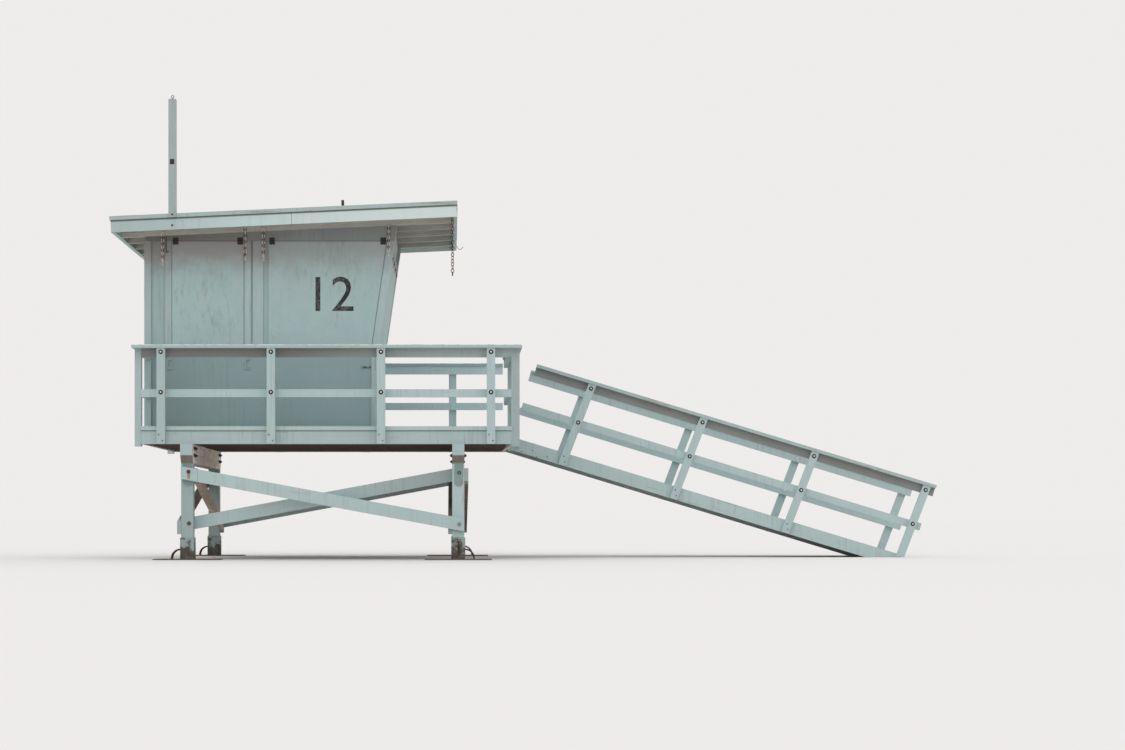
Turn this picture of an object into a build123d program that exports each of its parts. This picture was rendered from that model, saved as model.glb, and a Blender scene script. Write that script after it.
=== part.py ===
"""A beach lifeguard tower: raised deck, shuttered cabin, sloping roof and plank ramp.

Millimetres. Z is up from the sand, +X runs from the rear of the cabin to the foot of the
ramp, and -Y is the side that the photograph shows. The origin lies on the ground under the
middle of the whole tower.
"""
import os
from math import cos, radians, sin, tan

from build123d import *

# Timber sections
plank_t = 51
post_w = 104
post_t = 102
leg_w = 152
rafter_depth = 152
brace_depth = 160

# Deck
deck_length = 4620
half_width = 1829
floor_z = 1667
rim_depth = 171
nosing_overhang = 12
deck_board_w = 140
deck_board_gap = 6
joist_count = 7

# Railing round the deck
cap_top_above_floor = 1013
cap_t = 43
cap_lip = 15
top_board_h = 109
mid_board_h = 99
mid_board_z_above_floor = 363
near_post_inset = 257
near_post_count = 4
far_post_inset = 734
far_post_count = 4
far_rail_setback = 34
corner_post_drop = 28
edge_break = 4
rear_post_t = 82
cap_end_lip = 27

# Undercarriage
front_leg_inset = 664
rear_leg_inset = 571
leg_side_inset = 139
cap_beam_depth = 245
cap_beam_end_h = 141
cap_beam_overhang = 110
brace_high_z = 1090
brace_low_z = 435
cross_brace_high_z = 1065
cross_brace_low_z = 400
boot_wall = 12
boot_height = 280
pad_length = 840
pad_width = 440
pad_t = 10
pad_corner_r = 25
loop_rod_d = 20
loop_reach = 120
loop_spread = 110

# Cabin
cabin_length = 2951
side_walk = 610
wall_t = 100
sill_z = 2660
front_lean = 8.3
corner_board_w = 95
rear_corner_board_w = 60
trim_t = 25
window_rebate = 40
front_window_rebate = 25
glass_t = 6
door_width = 813
door_height = 1980
door_t = 45
door_gap = 4
door_rear_inset = 360

# Shutters, with their hinges along the top edge
shutter_t = 32
shutter_gap = 6
shutter_top_z = 4030
shutter_height = 1370
rear_shutter_inset = 330
rear_shutter_width = 907
side_batten_w = 84
front_shutter_inset = 1553
mullion_trim_w = 127
mullion_trim_offset = 70
window_lap = 45
front_shutter_top_z = 3832
front_shutter_side_inset = 134
front_mullion_w = 90
front_recess = 44
front_header_h = 110
pin_d = 9
knuckle_wall = 3.5
pin_clearance = 0.3
strap_w = 70
strap_len = 45
strap_t = 4
end_knuckle_w = 16
knuckle_gap = 1.5
front_strap_count = 4
hinge_side_inset = 45
latch_w = 70
latch_h = 140
latch_bar_h = 24
latch_t = 12
latch_drop = 110
batten_drop = 60

# Roof
roof_length = 4331
roof_angle = 2.6
roof_rear_overhang = 374
eave_z = 4073
drip_t = 20
drip_h = 48
fascia_setback = 12
roof_board_t = 38
roof_board_w = 135
roof_board_gap = 4
inner_rafter_count = 5
mast_w = 93
mast_from_rear = 775
mast_top_z = 5730
mast_lap = 15
felt_t = 4
felt_gap = 1
cleat_w = 56
cleat_h = 66
cleat_recess = 8
cleat_below_top = 780
mast_ring_r = 17
mast_ring_rod_d = 8
mast_ring_stem = 14
mast_ring_stem_d = 11
roof_pipe_d = 35
roof_pipe_h = 82
roof_pipe_from_rear = 2905
roof_pipe_from_edge = 60

# Ramp, measured down its slope and square to it from the top edge of the stringers
ramp_angle = 16.86
ramp_width = 1498
ramp_head_gap = 6
ramp_head_drop = 41
ramp_toe_h = 33
stringer_depth = 170
ramp_cap_start = 99
ramp_cap_overhang = 183
ramp_cap_top = 1025
ramp_mid_board = 432
ramp_rail_start = 66
ramp_rail_overhang = 148
ramp_post_first = 880
ramp_last_post_offset = 60
ramp_far_post_shift = 20
ramp_post_count = 4
ramp_post_lean = 4.0
ramp_post_ref = 922
ramp_board_w = 140
ramp_board_gap = 6
ramp_board_t = 38
ramp_board_recess = 12
ramp_board_start = 18
ledger_w = 38
ledger_h = 60
ledger_inset = 60
batten_t = 16
batten_w = 40
batten_end_gap = 40
boards_per_batten = 2
ground_clearance = 3
bracket_t = 6
bracket_arm = 150
bracket_flange = 80
bracket_h = 130

# Derived places
ramp_cos = cos(radians(ramp_angle))
ramp_sin = sin(radians(ramp_angle))
ramp_slope = tan(radians(ramp_angle))
ramp_z0 = floor_z - ramp_head_drop
ramp_run = (ramp_z0 - ramp_toe_h) / ramp_slope
ramp_length = ramp_run / ramp_cos
ramp_cap_end = ramp_length + ramp_cap_overhang
ramp_reach = ramp_head_gap + ramp_cap_end * ramp_cos + ramp_cap_top * ramp_sin
roof_tilt_reach = (rafter_depth + drip_h) * sin(radians(roof_angle))
rear_reach = deck_length + roof_rear_overhang + roof_tilt_reach
deck_x1 = (rear_reach - ramp_reach) / 2
deck_x0 = deck_x1 - deck_length
roof_x0 = deck_x0 - roof_rear_overhang

rail_y = half_width - post_t
rim_y = rail_y
joist_bottom_z = floor_z - plank_t - rim_depth
joist_top_z = floor_z - plank_t

cap_top_z = floor_z + cap_top_above_floor
cap_bottom_z = cap_top_z - cap_t
mid_board_z = floor_z + mid_board_z_above_floor
rail_band_spans = (
    (mid_board_z, mid_board_z + mid_board_h),
    (cap_bottom_z - top_board_h, cap_bottom_z),
)

leg_y = half_width - leg_side_inset - leg_w / 2
front_leg_x = deck_x1 - front_leg_inset
rear_leg_x = deck_x0 + rear_leg_inset
cap_beam_bottom_z = joist_bottom_z - cap_beam_depth

wall_y = half_width - side_walk
front_shutter_half_width = wall_y - front_shutter_side_inset
cabin_x0 = deck_x0
cabin_x1 = deck_x0 + cabin_length
lean = tan(radians(front_lean))
roof_slope = tan(radians(roof_angle))

ramp_y0 = half_width - ramp_width
ramp_y1 = half_width
ramp_x0 = deck_x1 + ramp_head_gap


def eave_height(x):
    """Height of the underside of the rafters over a place along the tower."""
    return eave_z + (x - roof_x0) * roof_slope


def front_wall_x(z):
    """Outer face of the cabin's front wall, which leans out above the sill."""
    return cabin_x1 + max(z - sill_z, 0) * lean


def front_face_x(z):
    """Face of the front wall's leaning part, set back between the two side walls."""
    return front_wall_x(z) - front_recess


def wall_top_x(sill_x):
    """Place where a face that leans out from the sill meets the underside of the rafters."""
    run = (eave_height(sill_x) - sill_z) * lean / (1 - roof_slope * lean)
    return sill_x + run


lean_top_x = wall_top_x(cabin_x1)


def squared_board(x_span, y_span, z_span):
    """Add a board squared to the axes between three pairs of low and high faces."""
    with BuildSketch(Plane.XY.offset(z_span[0])) as footprint:
        with Locations((sum(x_span) / 2, sum(y_span) / 2)):
            Rectangle(x_span[1] - x_span[0], y_span[1] - y_span[0])
    extrude(footprint.sketch, amount=z_span[1] - z_span[0])


def side_plane(y):
    """Upright plane seen from the near side, with X to the right and Z up."""
    return Plane(origin=(0, y, 0), x_dir=(1, 0, 0), z_dir=(0, -1, 0))


def ramp_plane(y):
    """Upright plane whose first axis runs down the ramp and whose second is square to it."""
    return Plane(origin=(ramp_x0, y, ramp_z0), x_dir=(ramp_cos, 0, -ramp_sin), z_dir=(0, -1, 0))


roof_cos = cos(radians(roof_angle))
roof_sin = sin(radians(roof_angle))


def roof_plane(height):
    """Plane parallel to the roof, a height above the underside of the rafters."""
    along = (roof_cos, 0, roof_sin)
    upward = (-roof_sin, 0, roof_cos)
    return Plane(origin=(roof_x0, 0, eave_z), x_dir=along, z_dir=upward).offset(height)


def cut_from_side(outline, y_span):
    """Push an outline drawn on the near side's upright plane through a span of Y."""
    with BuildSketch(side_plane(y_span[0])) as face:
        with BuildLine():
            Polyline(*outline, close=True)
        make_face()
    extrude(face.sketch, amount=y_span[0] - y_span[1])


def roof_board(u_span, y_span, h_span):
    """Add a board that lies along the slope of the roof."""
    with BuildSketch(roof_plane(h_span[0])) as footprint:
        with Locations((sum(u_span) / 2, sum(y_span) / 2)):
            Rectangle(u_span[1] - u_span[0], y_span[1] - y_span[0])
    extrude(footprint.sketch, amount=h_span[1] - h_span[0])


def ramp_board(u_span, y_span, n_span):
    """Add a board that lies along the slope of the ramp."""
    with BuildSketch(ramp_plane(y_span[0])) as face:
        with Locations((sum(u_span) / 2, sum(n_span) / 2)):
            Rectangle(u_span[1] - u_span[0], n_span[1] - n_span[0])
    extrude(face.sketch, amount=y_span[0] - y_span[1])


def mirrored(y_span, side):
    """A pair of faces on the near side (-1) or the far side (1)."""
    return tuple(sorted((side * y_span[0], side * y_span[1])))


def spread(first, last, count):
    """Evenly spaced places from the first to the last."""
    return [first + (last - first) * i / (count - 1) for i in range(count)]


def finish(sub_part, name):
    """Label a finished sub-part and write it as one file."""
    sub_part.part.label = name
    export_step(sub_part.part, f"parts/{name}.step")


os.makedirs("parts", exist_ok=True)

# Undercarriage
leg_spots = [(x, y) for x in (rear_leg_x, front_leg_x) for y in (-leg_y, leg_y)]

with BuildPart() as legs:
    with BuildSketch(Plane.XY):
        with Locations(*leg_spots):
            Rectangle(leg_w, leg_w)
    extrude(amount=cap_beam_bottom_z)
    foot_edges = legs.edges().filter_by(Axis.Z)
    chamfer(foot_edges, length=edge_break)
finish(legs, "legs")

with BuildPart() as leg_boots:
    with BuildSketch(Plane.XY):
        with Locations(*leg_spots):
            Rectangle(leg_w + 2 * boot_wall, leg_w + 2 * boot_wall)
            Rectangle(leg_w, leg_w, mode=Mode.SUBTRACT)
    extrude(amount=boot_height)
    rims = leg_boots.edges().filter_by(Plane.XY).group_by(Axis.Z)[-1]
    outer_rims = rims.filter_by(lambda edge: edge.length > leg_w + boot_wall)
    chamfer(outer_rims, length=boot_wall / 2)
finish(leg_boots, "leg_boots")

with BuildPart() as base_plates:
    with BuildSketch(Plane.XY):
        with Locations(*leg_spots):
            RectangleRounded(pad_length, pad_width, pad_corner_r)
            Rectangle(leg_w + 2 * boot_wall, leg_w + 2 * boot_wall, mode=Mode.SUBTRACT)
    extrude(amount=pad_t)
finish(base_plates, "base_plates")

loop_arc_r = loop_reach - loop_rod_d / 2
loop_foot_z = pad_t + loop_rod_d / 2
with BuildPart() as tow_loops:
    for spot_x, spot_y in leg_spots:
        away = 1 if spot_x > 0.5 * (rear_leg_x + front_leg_x) else -1
        boot_face_x = spot_x + away * (leg_w / 2 + boot_wall)
        for y in (spot_y - loop_spread / 2, spot_y + loop_spread / 2):
            with BuildLine(side_plane(y)) as arm:
                CenterArc((boot_face_x, loop_foot_z), loop_arc_r, 90 - away * 90, away * 90)
            with BuildSketch(Plane.XY.offset(loop_foot_z)):
                with Locations((boot_face_x + away * loop_arc_r, y)):
                    Circle(loop_rod_d / 2)
            sweep(path=arm.line)
        bar_x = boot_face_x + away * loop_arc_r
        with BuildSketch(Plane.XZ.offset(-(spot_y - loop_spread / 2 - loop_rod_d / 2))):
            with Locations((bar_x, loop_foot_z)):
                Circle(loop_rod_d / 2)
        extrude(amount=-(loop_spread + loop_rod_d))
finish(tow_loops, "tow_loops")

beam_end_y = leg_y + leg_w / 2 + cap_beam_overhang
beam_outline = (
    (-beam_end_y, joist_bottom_z),
    (-beam_end_y, joist_bottom_z - cap_beam_end_h),
    (-beam_end_y + cap_beam_overhang, cap_beam_bottom_z),
    (beam_end_y - cap_beam_overhang, cap_beam_bottom_z),
    (beam_end_y, joist_bottom_z - cap_beam_end_h),
    (beam_end_y, joist_bottom_z),
)
with BuildPart() as cap_beams:
    for x in (rear_leg_x, front_leg_x):
        with BuildSketch(Plane.YZ.offset(x - leg_w / 2)):
            with BuildLine():
                Polyline(*beam_outline, close=True)
            make_face()
        extrude(amount=leg_w)
finish(cap_beams, "cap_beams")

brace_x0 = rear_leg_x - leg_w / 2
brace_x1 = front_leg_x + leg_w / 2


def leaning_outline(low_end, high_end, depth):
    """A board's face between two end heights, with its ends cut plumb."""
    half = depth / 2
    return (
        (low_end[0], low_end[1] - half),
        (high_end[0], high_end[1] - half),
        (high_end[0], high_end[1] + half),
        (low_end[0], low_end[1] + half),
    )


falling = leaning_outline((brace_x0, brace_high_z), (brace_x1, brace_low_z), brace_depth)
rising = leaning_outline((brace_x0, brace_low_z), (brace_x1, brace_high_z), brace_depth)
outer_face_y = leg_y + leg_w / 2
inner_face_y = leg_y - leg_w / 2
with BuildPart() as long_braces:
    cut_from_side(falling, (-outer_face_y - plank_t, -outer_face_y))
    cut_from_side(rising, (-inner_face_y, -inner_face_y + plank_t))
    cut_from_side(rising, (outer_face_y, outer_face_y + plank_t))
    cut_from_side(falling, (inner_face_y - plank_t, inner_face_y))
finish(long_braces, "long_braces")

cross_falling = leaning_outline(
    (-outer_face_y, cross_brace_high_z), (outer_face_y, cross_brace_low_z), brace_depth
)
cross_rising = leaning_outline(
    (-outer_face_y, cross_brace_low_z), (outer_face_y, cross_brace_high_z), brace_depth
)
with BuildPart() as cross_braces:
    for x in (rear_leg_x, front_leg_x):
        for outline, face_x in (
            (cross_falling, x + leg_w / 2),
            (cross_rising, x - leg_w / 2 - plank_t),
        ):
            with BuildSketch(Plane.YZ.offset(face_x)):
                with BuildLine():
                    Polyline(*outline, close=True)
                make_face()
            extrude(amount=plank_t)
finish(cross_braces, "cross_braces")

# Deck
with BuildPart() as side_rims:
    for side in (-1, 1):
        squared_board(
            (deck_x0, deck_x1),
            mirrored((rim_y - plank_t, rim_y), side),
            (joist_bottom_z, joist_top_z),
        )
finish(side_rims, "side_rims")

with BuildPart() as end_rims:
    for x in (deck_x0, deck_x1 - plank_t):
        squared_board(
            (x, x + plank_t),
            (-rim_y + plank_t, rim_y - plank_t),
            (joist_bottom_z, joist_top_z),
        )
finish(end_rims, "end_rims")

joist_pitch = 2 * (rim_y - plank_t) / (joist_count + 1)
with BuildPart() as deck_joists:
    with BuildSketch(Plane.XY.offset(joist_bottom_z)):
        with Locations(((deck_x0 + deck_x1) / 2, 0)):
            with GridLocations(0, joist_pitch, 1, joist_count):
                Rectangle(deck_length - 2 * plank_t, plank_t)
    extrude(amount=rim_depth)
finish(deck_joists, "deck_joists")

board_count = int((deck_length + deck_board_gap) // (deck_board_w + deck_board_gap))
board_pitch = (deck_length + deck_board_gap) / board_count
with BuildPart() as deck_boards:
    with BuildSketch(Plane.XY.offset(joist_top_z)):
        with Locations(((deck_x0 + deck_x1) / 2, 0)):
            with GridLocations(board_pitch, 0, board_count, 1):
                Rectangle(board_pitch - deck_board_gap, 2 * (rim_y - plank_t))
    extrude(amount=plank_t)
finish(deck_boards, "deck_boards")

with BuildPart() as nosing_strips:
    for side in (-1, 1):
        squared_board(
            (deck_x0, deck_x1),
            mirrored((rim_y - plank_t, rim_y + nosing_overhang), side),
            (joist_top_z, floor_z),
        )
finish(nosing_strips, "nosing_strips")

# Railing round the deck
near_post_xs = spread(deck_x0 + near_post_inset, deck_x1 - near_post_inset, near_post_count)
far_post_xs = spread(deck_x0 + near_post_inset, deck_x1 - far_post_inset, far_post_count)
front_rail_end_y = ramp_y0
front_post_ys = (-rim_y + nosing_overhang, front_rail_end_y - post_w)
with BuildPart() as rail_posts:
    for side, post_xs in ((-1, near_post_xs), (1, far_post_xs)):
        for x in post_xs:
            squared_board(
                (x - post_w / 2, x + post_w / 2),
                mirrored((rail_y, half_width), side),
                (joist_bottom_z, cap_bottom_z),
            )
    for y in front_post_ys:
        squared_board(
            (deck_x1, deck_x1 + post_t),
            (y, y + post_w),
            (joist_bottom_z - corner_post_drop, cap_bottom_z),
        )
    for side in (-1, 1):
        squared_board(
            (deck_x0 - rear_post_t, deck_x0),
            mirrored((rim_y - nosing_overhang - post_w, rim_y - nosing_overhang), side),
            (joist_bottom_z - corner_post_drop, cap_bottom_z),
        )
    for side in (-1, 1):
        with BuildSketch(Plane.XY.offset(joist_top_z)) as notch:
            with Locations(((deck_x0 + deck_x1) / 2, side * (rim_y + nosing_overhang / 2))):
                Rectangle(deck_length - 2 * nosing_overhang, nosing_overhang)
        extrude(notch.sketch, amount=plank_t, mode=Mode.SUBTRACT)
finish(rail_posts, "rail_posts")

with BuildPart() as side_rails:
    for side in (-1, 1):
        for z_span in rail_band_spans:
            x_span = (deck_x0, deck_x1 if side < 0 else deck_x1 - far_rail_setback)
            squared_board(x_span, mirrored((rail_y - plank_t, rail_y), side), z_span)
finish(side_rails, "side_rails")

return_end_y = wall_y + trim_t
with BuildPart() as end_rails:
    for z_span in rail_band_spans:
        squared_board((deck_x1 - plank_t, deck_x1), (-rail_y + plank_t, front_rail_end_y), z_span)
        for side in (-1, 1):
            squared_board(
                (deck_x0, deck_x0 + plank_t),
                mirrored((return_end_y, rail_y - plank_t), side),
                z_span,
            )
finish(end_rails, "end_rails")

cap_out_y = half_width + cap_lip
cap_in_y = rail_y - plank_t - cap_lip
cap_front_x = deck_x1 + post_t + cap_end_lip
cap_rear_x = deck_x0 - rear_post_t - cap_end_lip
with BuildPart() as side_caps:
    squared_board((cap_rear_x, cap_front_x), (-cap_out_y, -cap_in_y), (cap_bottom_z, cap_top_z))
    far_cap_x = (cap_rear_x, deck_x1 - far_rail_setback)
    squared_board(far_cap_x, (cap_in_y, cap_out_y), (cap_bottom_z, cap_top_z))
    upper_edges = side_caps.edges().group_by(Axis.Z)[-1]
    chamfer(upper_edges, length=edge_break)
finish(side_caps, "side_caps")

with BuildPart() as end_caps:
    squared_board(
        (deck_x1 - plank_t - cap_lip, cap_front_x),
        (-cap_in_y, front_rail_end_y),
        (cap_bottom_z, cap_top_z),
    )
    for side in (-1, 1):
        squared_board(
            (cap_rear_x, deck_x0 + plank_t + cap_lip),
            mirrored((return_end_y, cap_in_y), side),
            (cap_bottom_z, cap_top_z),
        )
    upper_edges = end_caps.edges().group_by(Axis.Z)[-1]
    chamfer(upper_edges, length=edge_break)
finish(end_caps, "end_caps")

# Cabin walls
rear_window_x = (
    cabin_x0 + rear_shutter_inset + window_lap,
    cabin_x0 + rear_shutter_inset + rear_shutter_width - window_lap,
)
window_z = (sill_z + window_lap, shutter_top_z - window_lap)
front_window_x0 = cabin_x0 + front_shutter_inset + window_lap
front_corner_inset = corner_board_w + window_lap


def front_window_edge(z):
    """Leaning front edge of the side windows, a corner board's width behind the wall."""
    return front_wall_x(z) - front_corner_inset


side_wall_outline = (
    (cabin_x0, floor_z),
    (cabin_x1, floor_z),
    (cabin_x1, sill_z),
    (lean_top_x, eave_height(lean_top_x)),
    (cabin_x0, eave_height(cabin_x0)),
)
rear_window_outline = (
    (rear_window_x[0], window_z[0]),
    (rear_window_x[1], window_z[0]),
    (rear_window_x[1], window_z[1]),
    (rear_window_x[0], window_z[1]),
)
front_window_outline = (
    (front_window_x0, window_z[0]),
    (front_window_edge(window_z[0]), window_z[0]),
    (front_window_edge(window_z[1]), window_z[1]),
    (front_window_x0, window_z[1]),
)
door_x0 = cabin_x0 + door_rear_inset
doorway_outline = (
    (door_x0, floor_z),
    (door_x0 + door_width, floor_z),
    (door_x0 + door_width, floor_z + door_height),
    (door_x0, floor_z + door_height),
)


def cut_openings(outlines, y_span):
    """Take openings, drawn from the side, out of the wall in hand."""
    with BuildSketch(side_plane(y_span[0])) as holes:
        for outline in outlines:
            with BuildLine():
                Polyline(*outline, close=True)
            make_face()
    extrude(holes.sketch, amount=y_span[0] - y_span[1], mode=Mode.SUBTRACT)


with BuildPart() as near_wall:
    cut_from_side(side_wall_outline, (-wall_y, -wall_y + wall_t))
    cut_openings((rear_window_outline, front_window_outline), (-wall_y, -wall_y + wall_t))
finish(near_wall, "near_wall")

with BuildPart() as far_wall:
    cut_from_side(side_wall_outline, (wall_y - wall_t, wall_y))
    cut_openings((doorway_outline, front_window_outline), (wall_y - wall_t, wall_y))
finish(far_wall, "far_wall")

rear_wall_outline = (
    (cabin_x0, floor_z),
    (cabin_x0 + wall_t, floor_z),
    (cabin_x0 + wall_t, eave_height(cabin_x0 + wall_t)),
    (cabin_x0, eave_height(cabin_x0)),
)
inner_wall_y = wall_y - wall_t
with BuildPart() as rear_wall:
    cut_from_side(rear_wall_outline, (-inner_wall_y, inner_wall_y))
finish(rear_wall, "rear_wall")

with BuildPart() as front_lower_wall:
    squared_board((cabin_x1 - wall_t, cabin_x1), (-inner_wall_y, inner_wall_y), (floor_z, sill_z))
finish(front_lower_wall, "front_lower_wall")

inner_top_x = wall_top_x(cabin_x1 - wall_t)
outer_top_x = wall_top_x(cabin_x1 - front_recess)
front_upper_outline = (
    (cabin_x1 - wall_t, sill_z),
    (cabin_x1 - front_recess, sill_z),
    (outer_top_x, eave_height(outer_top_x)),
    (inner_top_x, eave_height(inner_top_x)),
)
front_window_z = (sill_z + window_lap, front_shutter_top_z - window_lap)
front_pane_w = front_shutter_half_width - window_lap - front_mullion_w / 2
front_pane_y = front_mullion_w / 2 + front_pane_w / 2
with BuildPart() as front_upper_wall:
    cut_from_side(front_upper_outline, (-inner_wall_y, inner_wall_y))
    with BuildSketch(Plane.YZ.offset(cabin_x1 - wall_t)) as panes:
        with Locations((0, sum(front_window_z) / 2)):
            with GridLocations(2 * front_pane_y, 0, 2, 1):
                Rectangle(front_pane_w, front_window_z[1] - front_window_z[0])
    extrude(panes.sketch, amount=2 * wall_t + lean_top_x - cabin_x1, mode=Mode.SUBTRACT)
finish(front_upper_wall, "front_upper_wall")

# Glass, door and wall trim
pane_near_y = (-wall_y + window_rebate, -wall_y + window_rebate + glass_t)
pane_far_y = (wall_y - window_rebate - glass_t, wall_y - window_rebate)
with BuildPart() as window_glass:
    cut_from_side(rear_window_outline, pane_near_y)
    cut_from_side(front_window_outline, pane_near_y)
    cut_from_side(front_window_outline, pane_far_y)
    pane_outline = (
        (front_face_x(front_window_z[0]) - front_window_rebate - glass_t, front_window_z[0]),
        (front_face_x(front_window_z[0]) - front_window_rebate, front_window_z[0]),
        (front_face_x(front_window_z[1]) - front_window_rebate, front_window_z[1]),
        (front_face_x(front_window_z[1]) - front_window_rebate - glass_t, front_window_z[1]),
    )
    for y in (-front_pane_y, front_pane_y):
        cut_from_side(pane_outline, (y - front_pane_w / 2, y + front_pane_w / 2))
finish(window_glass, "window_glass")

with BuildPart() as door:
    squared_board(
        (door_x0 + door_gap, door_x0 + door_width - door_gap),
        (wall_y - door_t, wall_y),
        (floor_z, floor_z + door_height),
    )
finish(door, "door")

rear_batten_xs = (
    cabin_x0 + rear_shutter_inset - shutter_gap - side_batten_w,
    cabin_x0 + rear_shutter_inset + rear_shutter_width + shutter_gap,
)
mullion_x = cabin_x0 + front_shutter_inset - mullion_trim_offset - mullion_trim_w
frieze_z = shutter_top_z + shutter_gap
batten_z = (sill_z - batten_drop, frieze_z)
corner_board_outline = (
    (cabin_x1 - corner_board_w, floor_z),
    (cabin_x1, floor_z),
    (cabin_x1, sill_z),
    (front_wall_x(frieze_z), frieze_z),
    (front_wall_x(frieze_z) - corner_board_w, frieze_z),
    (cabin_x1 - corner_board_w, sill_z),
)
rear_corner_outline = (
    (cabin_x0 - trim_t, floor_z),
    (cabin_x0, floor_z),
    (cabin_x0, eave_height(cabin_x0)),
    (cabin_x0 - trim_t, eave_height(cabin_x0 - trim_t)),
)
rear_corner_y = (wall_y - rear_corner_board_w, wall_y + trim_t)
with BuildPart() as wall_trim:
    for side in (-1, 1):
        y_span = mirrored((wall_y, wall_y + trim_t), side)
        cut_from_side(corner_board_outline, y_span)
        squared_board((cabin_x0, cabin_x0 + rear_corner_board_w), y_span, (floor_z, frieze_z))
        cut_from_side(rear_corner_outline, mirrored(rear_corner_y, side))
        squared_board((mullion_x, mullion_x + mullion_trim_w), y_span, batten_z)
    for x in rear_batten_xs:
        squared_board((x, x + side_batten_w), (-wall_y - trim_t, -wall_y), batten_z)
finish(wall_trim, "wall_trim")

frieze_t = shutter_gap + shutter_t
header_z = (front_shutter_top_z + shutter_gap, front_shutter_top_z + shutter_gap + front_header_h)
header_outline = (
    (front_face_x(header_z[0]), header_z[0]),
    (front_face_x(header_z[0]) + frieze_t, header_z[0]),
    (front_face_x(header_z[1]) + frieze_t, header_z[1]),
    (front_face_x(header_z[1]), header_z[1]),
)
frieze_outline = (
    (cabin_x0, frieze_z),
    (front_wall_x(frieze_z), frieze_z),
    (lean_top_x, eave_height(lean_top_x)),
    (cabin_x0, eave_height(cabin_x0)),
)
with BuildPart() as header_boards:
    for side in (-1, 1):
        cut_from_side(frieze_outline, mirrored((wall_y, wall_y + frieze_t), side))
    cut_from_side(header_outline, (-front_shutter_half_width, front_shutter_half_width))
finish(header_boards, "header_boards")

# Shutters
shutter_z = (shutter_top_z - shutter_height, shutter_top_z)
near_face_y = -wall_y - shutter_gap - shutter_t
rear_shutter_x = (
    cabin_x0 + rear_shutter_inset,
    cabin_x0 + rear_shutter_inset + rear_shutter_width,
)
front_panel_outline = (
    (cabin_x0 + front_shutter_inset, shutter_z[0]),
    (front_wall_x(shutter_z[0]) - corner_board_w - shutter_gap, shutter_z[0]),
    (front_wall_x(shutter_z[1]) - corner_board_w - shutter_gap, shutter_z[1]),
    (cabin_x0 + front_shutter_inset, shutter_z[1]),
)
with BuildPart() as near_rear_shutter:
    squared_board(rear_shutter_x, (near_face_y, near_face_y + shutter_t), shutter_z)
finish(near_rear_shutter, "near_rear_shutter")

with BuildPart() as near_front_shutter:
    cut_from_side(front_panel_outline, (near_face_y, near_face_y + shutter_t))
finish(near_front_shutter, "near_front_shutter")

front_shutter_bottom_z = sill_z + shutter_gap
front_shutter_outline = (
    (front_face_x(front_shutter_bottom_z) + shutter_gap, front_shutter_bottom_z),
    (front_face_x(front_shutter_bottom_z) + frieze_t, front_shutter_bottom_z),
    (front_face_x(front_shutter_top_z) + frieze_t, front_shutter_top_z),
    (front_face_x(front_shutter_top_z) + shutter_gap, front_shutter_top_z),
)
with BuildPart() as front_shutter:
    cut_from_side(front_shutter_outline, (-front_shutter_half_width, front_shutter_half_width))
finish(front_shutter, "front_shutter")

# Strap hinges: a fixed leaf with the pin above, a strap with its knuckle round the pin below
knuckle_r = pin_d / 2 + pin_clearance + knuckle_wall
near_pin_y = near_face_y - knuckle_r
near_pin_z = shutter_top_z + shutter_gap / 2
front_pin_z = front_shutter_top_z + shutter_gap / 2
lean_cos = cos(radians(front_lean))
lean_sin = sin(radians(front_lean))
front_pin_x = front_face_x(front_pin_z) + frieze_t + knuckle_r / lean_cos
rear_strap_xs = (rear_shutter_x[0] + hinge_side_inset, rear_shutter_x[1] - hinge_side_inset)
front_strap_xs = (
    front_panel_outline[0][0] + hinge_side_inset,
    front_panel_outline[2][0] - hinge_side_inset,
)
front_strap_ys = spread(
    hinge_side_inset - front_shutter_half_width,
    front_shutter_half_width - hinge_side_inset,
    front_strap_count,
)


def near_pin_plane(x):
    """Plane square to a near hinge pin: first axis towards the wall, second axis up."""
    return Plane(origin=(x, near_pin_y, near_pin_z), x_dir=(0, 1, 0), z_dir=(1, 0, 0))


def far_pin_plane(x):
    """Plane square to a far hinge pin: first axis towards the wall, second axis up."""
    return Plane(origin=(x, -near_pin_y, near_pin_z), x_dir=(0, -1, 0), z_dir=(-1, 0, 0))


def front_pin_plane(y):
    """Plane square to a front hinge pin: first axis towards the wall, second axis up the lean."""
    up_the_lean = (-lean_cos, 0, lean_sin)
    return Plane(origin=(front_pin_x, y, front_pin_z), x_dir=up_the_lean, z_dir=(0, 1, 0))


plate_x = knuckle_r - strap_t / 2
plate_start = knuckle_r + knuckle_gap
plate_h = strap_len - plate_start
tongue_half = (strap_w - 2 * end_knuckle_w) / 2 - knuckle_gap


def hinge_strap(pin_plane):
    """Add the moving half: a plate below the pin with a knuckle in the middle of its width."""
    with BuildSketch(pin_plane) as tongue:
        Circle(knuckle_r)
        with Locations((plate_x, -strap_len / 2)):
            Rectangle(strap_t, strap_len)
        Circle(pin_d / 2 + pin_clearance, mode=Mode.SUBTRACT)
    extrude(tongue.sketch, amount=tongue_half, both=True)
    with BuildSketch(pin_plane) as plate:
        with Locations((plate_x, -plate_start - plate_h / 2)):
            Rectangle(strap_t, plate_h)
    extrude(plate.sketch, amount=strap_w / 2, both=True)


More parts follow.
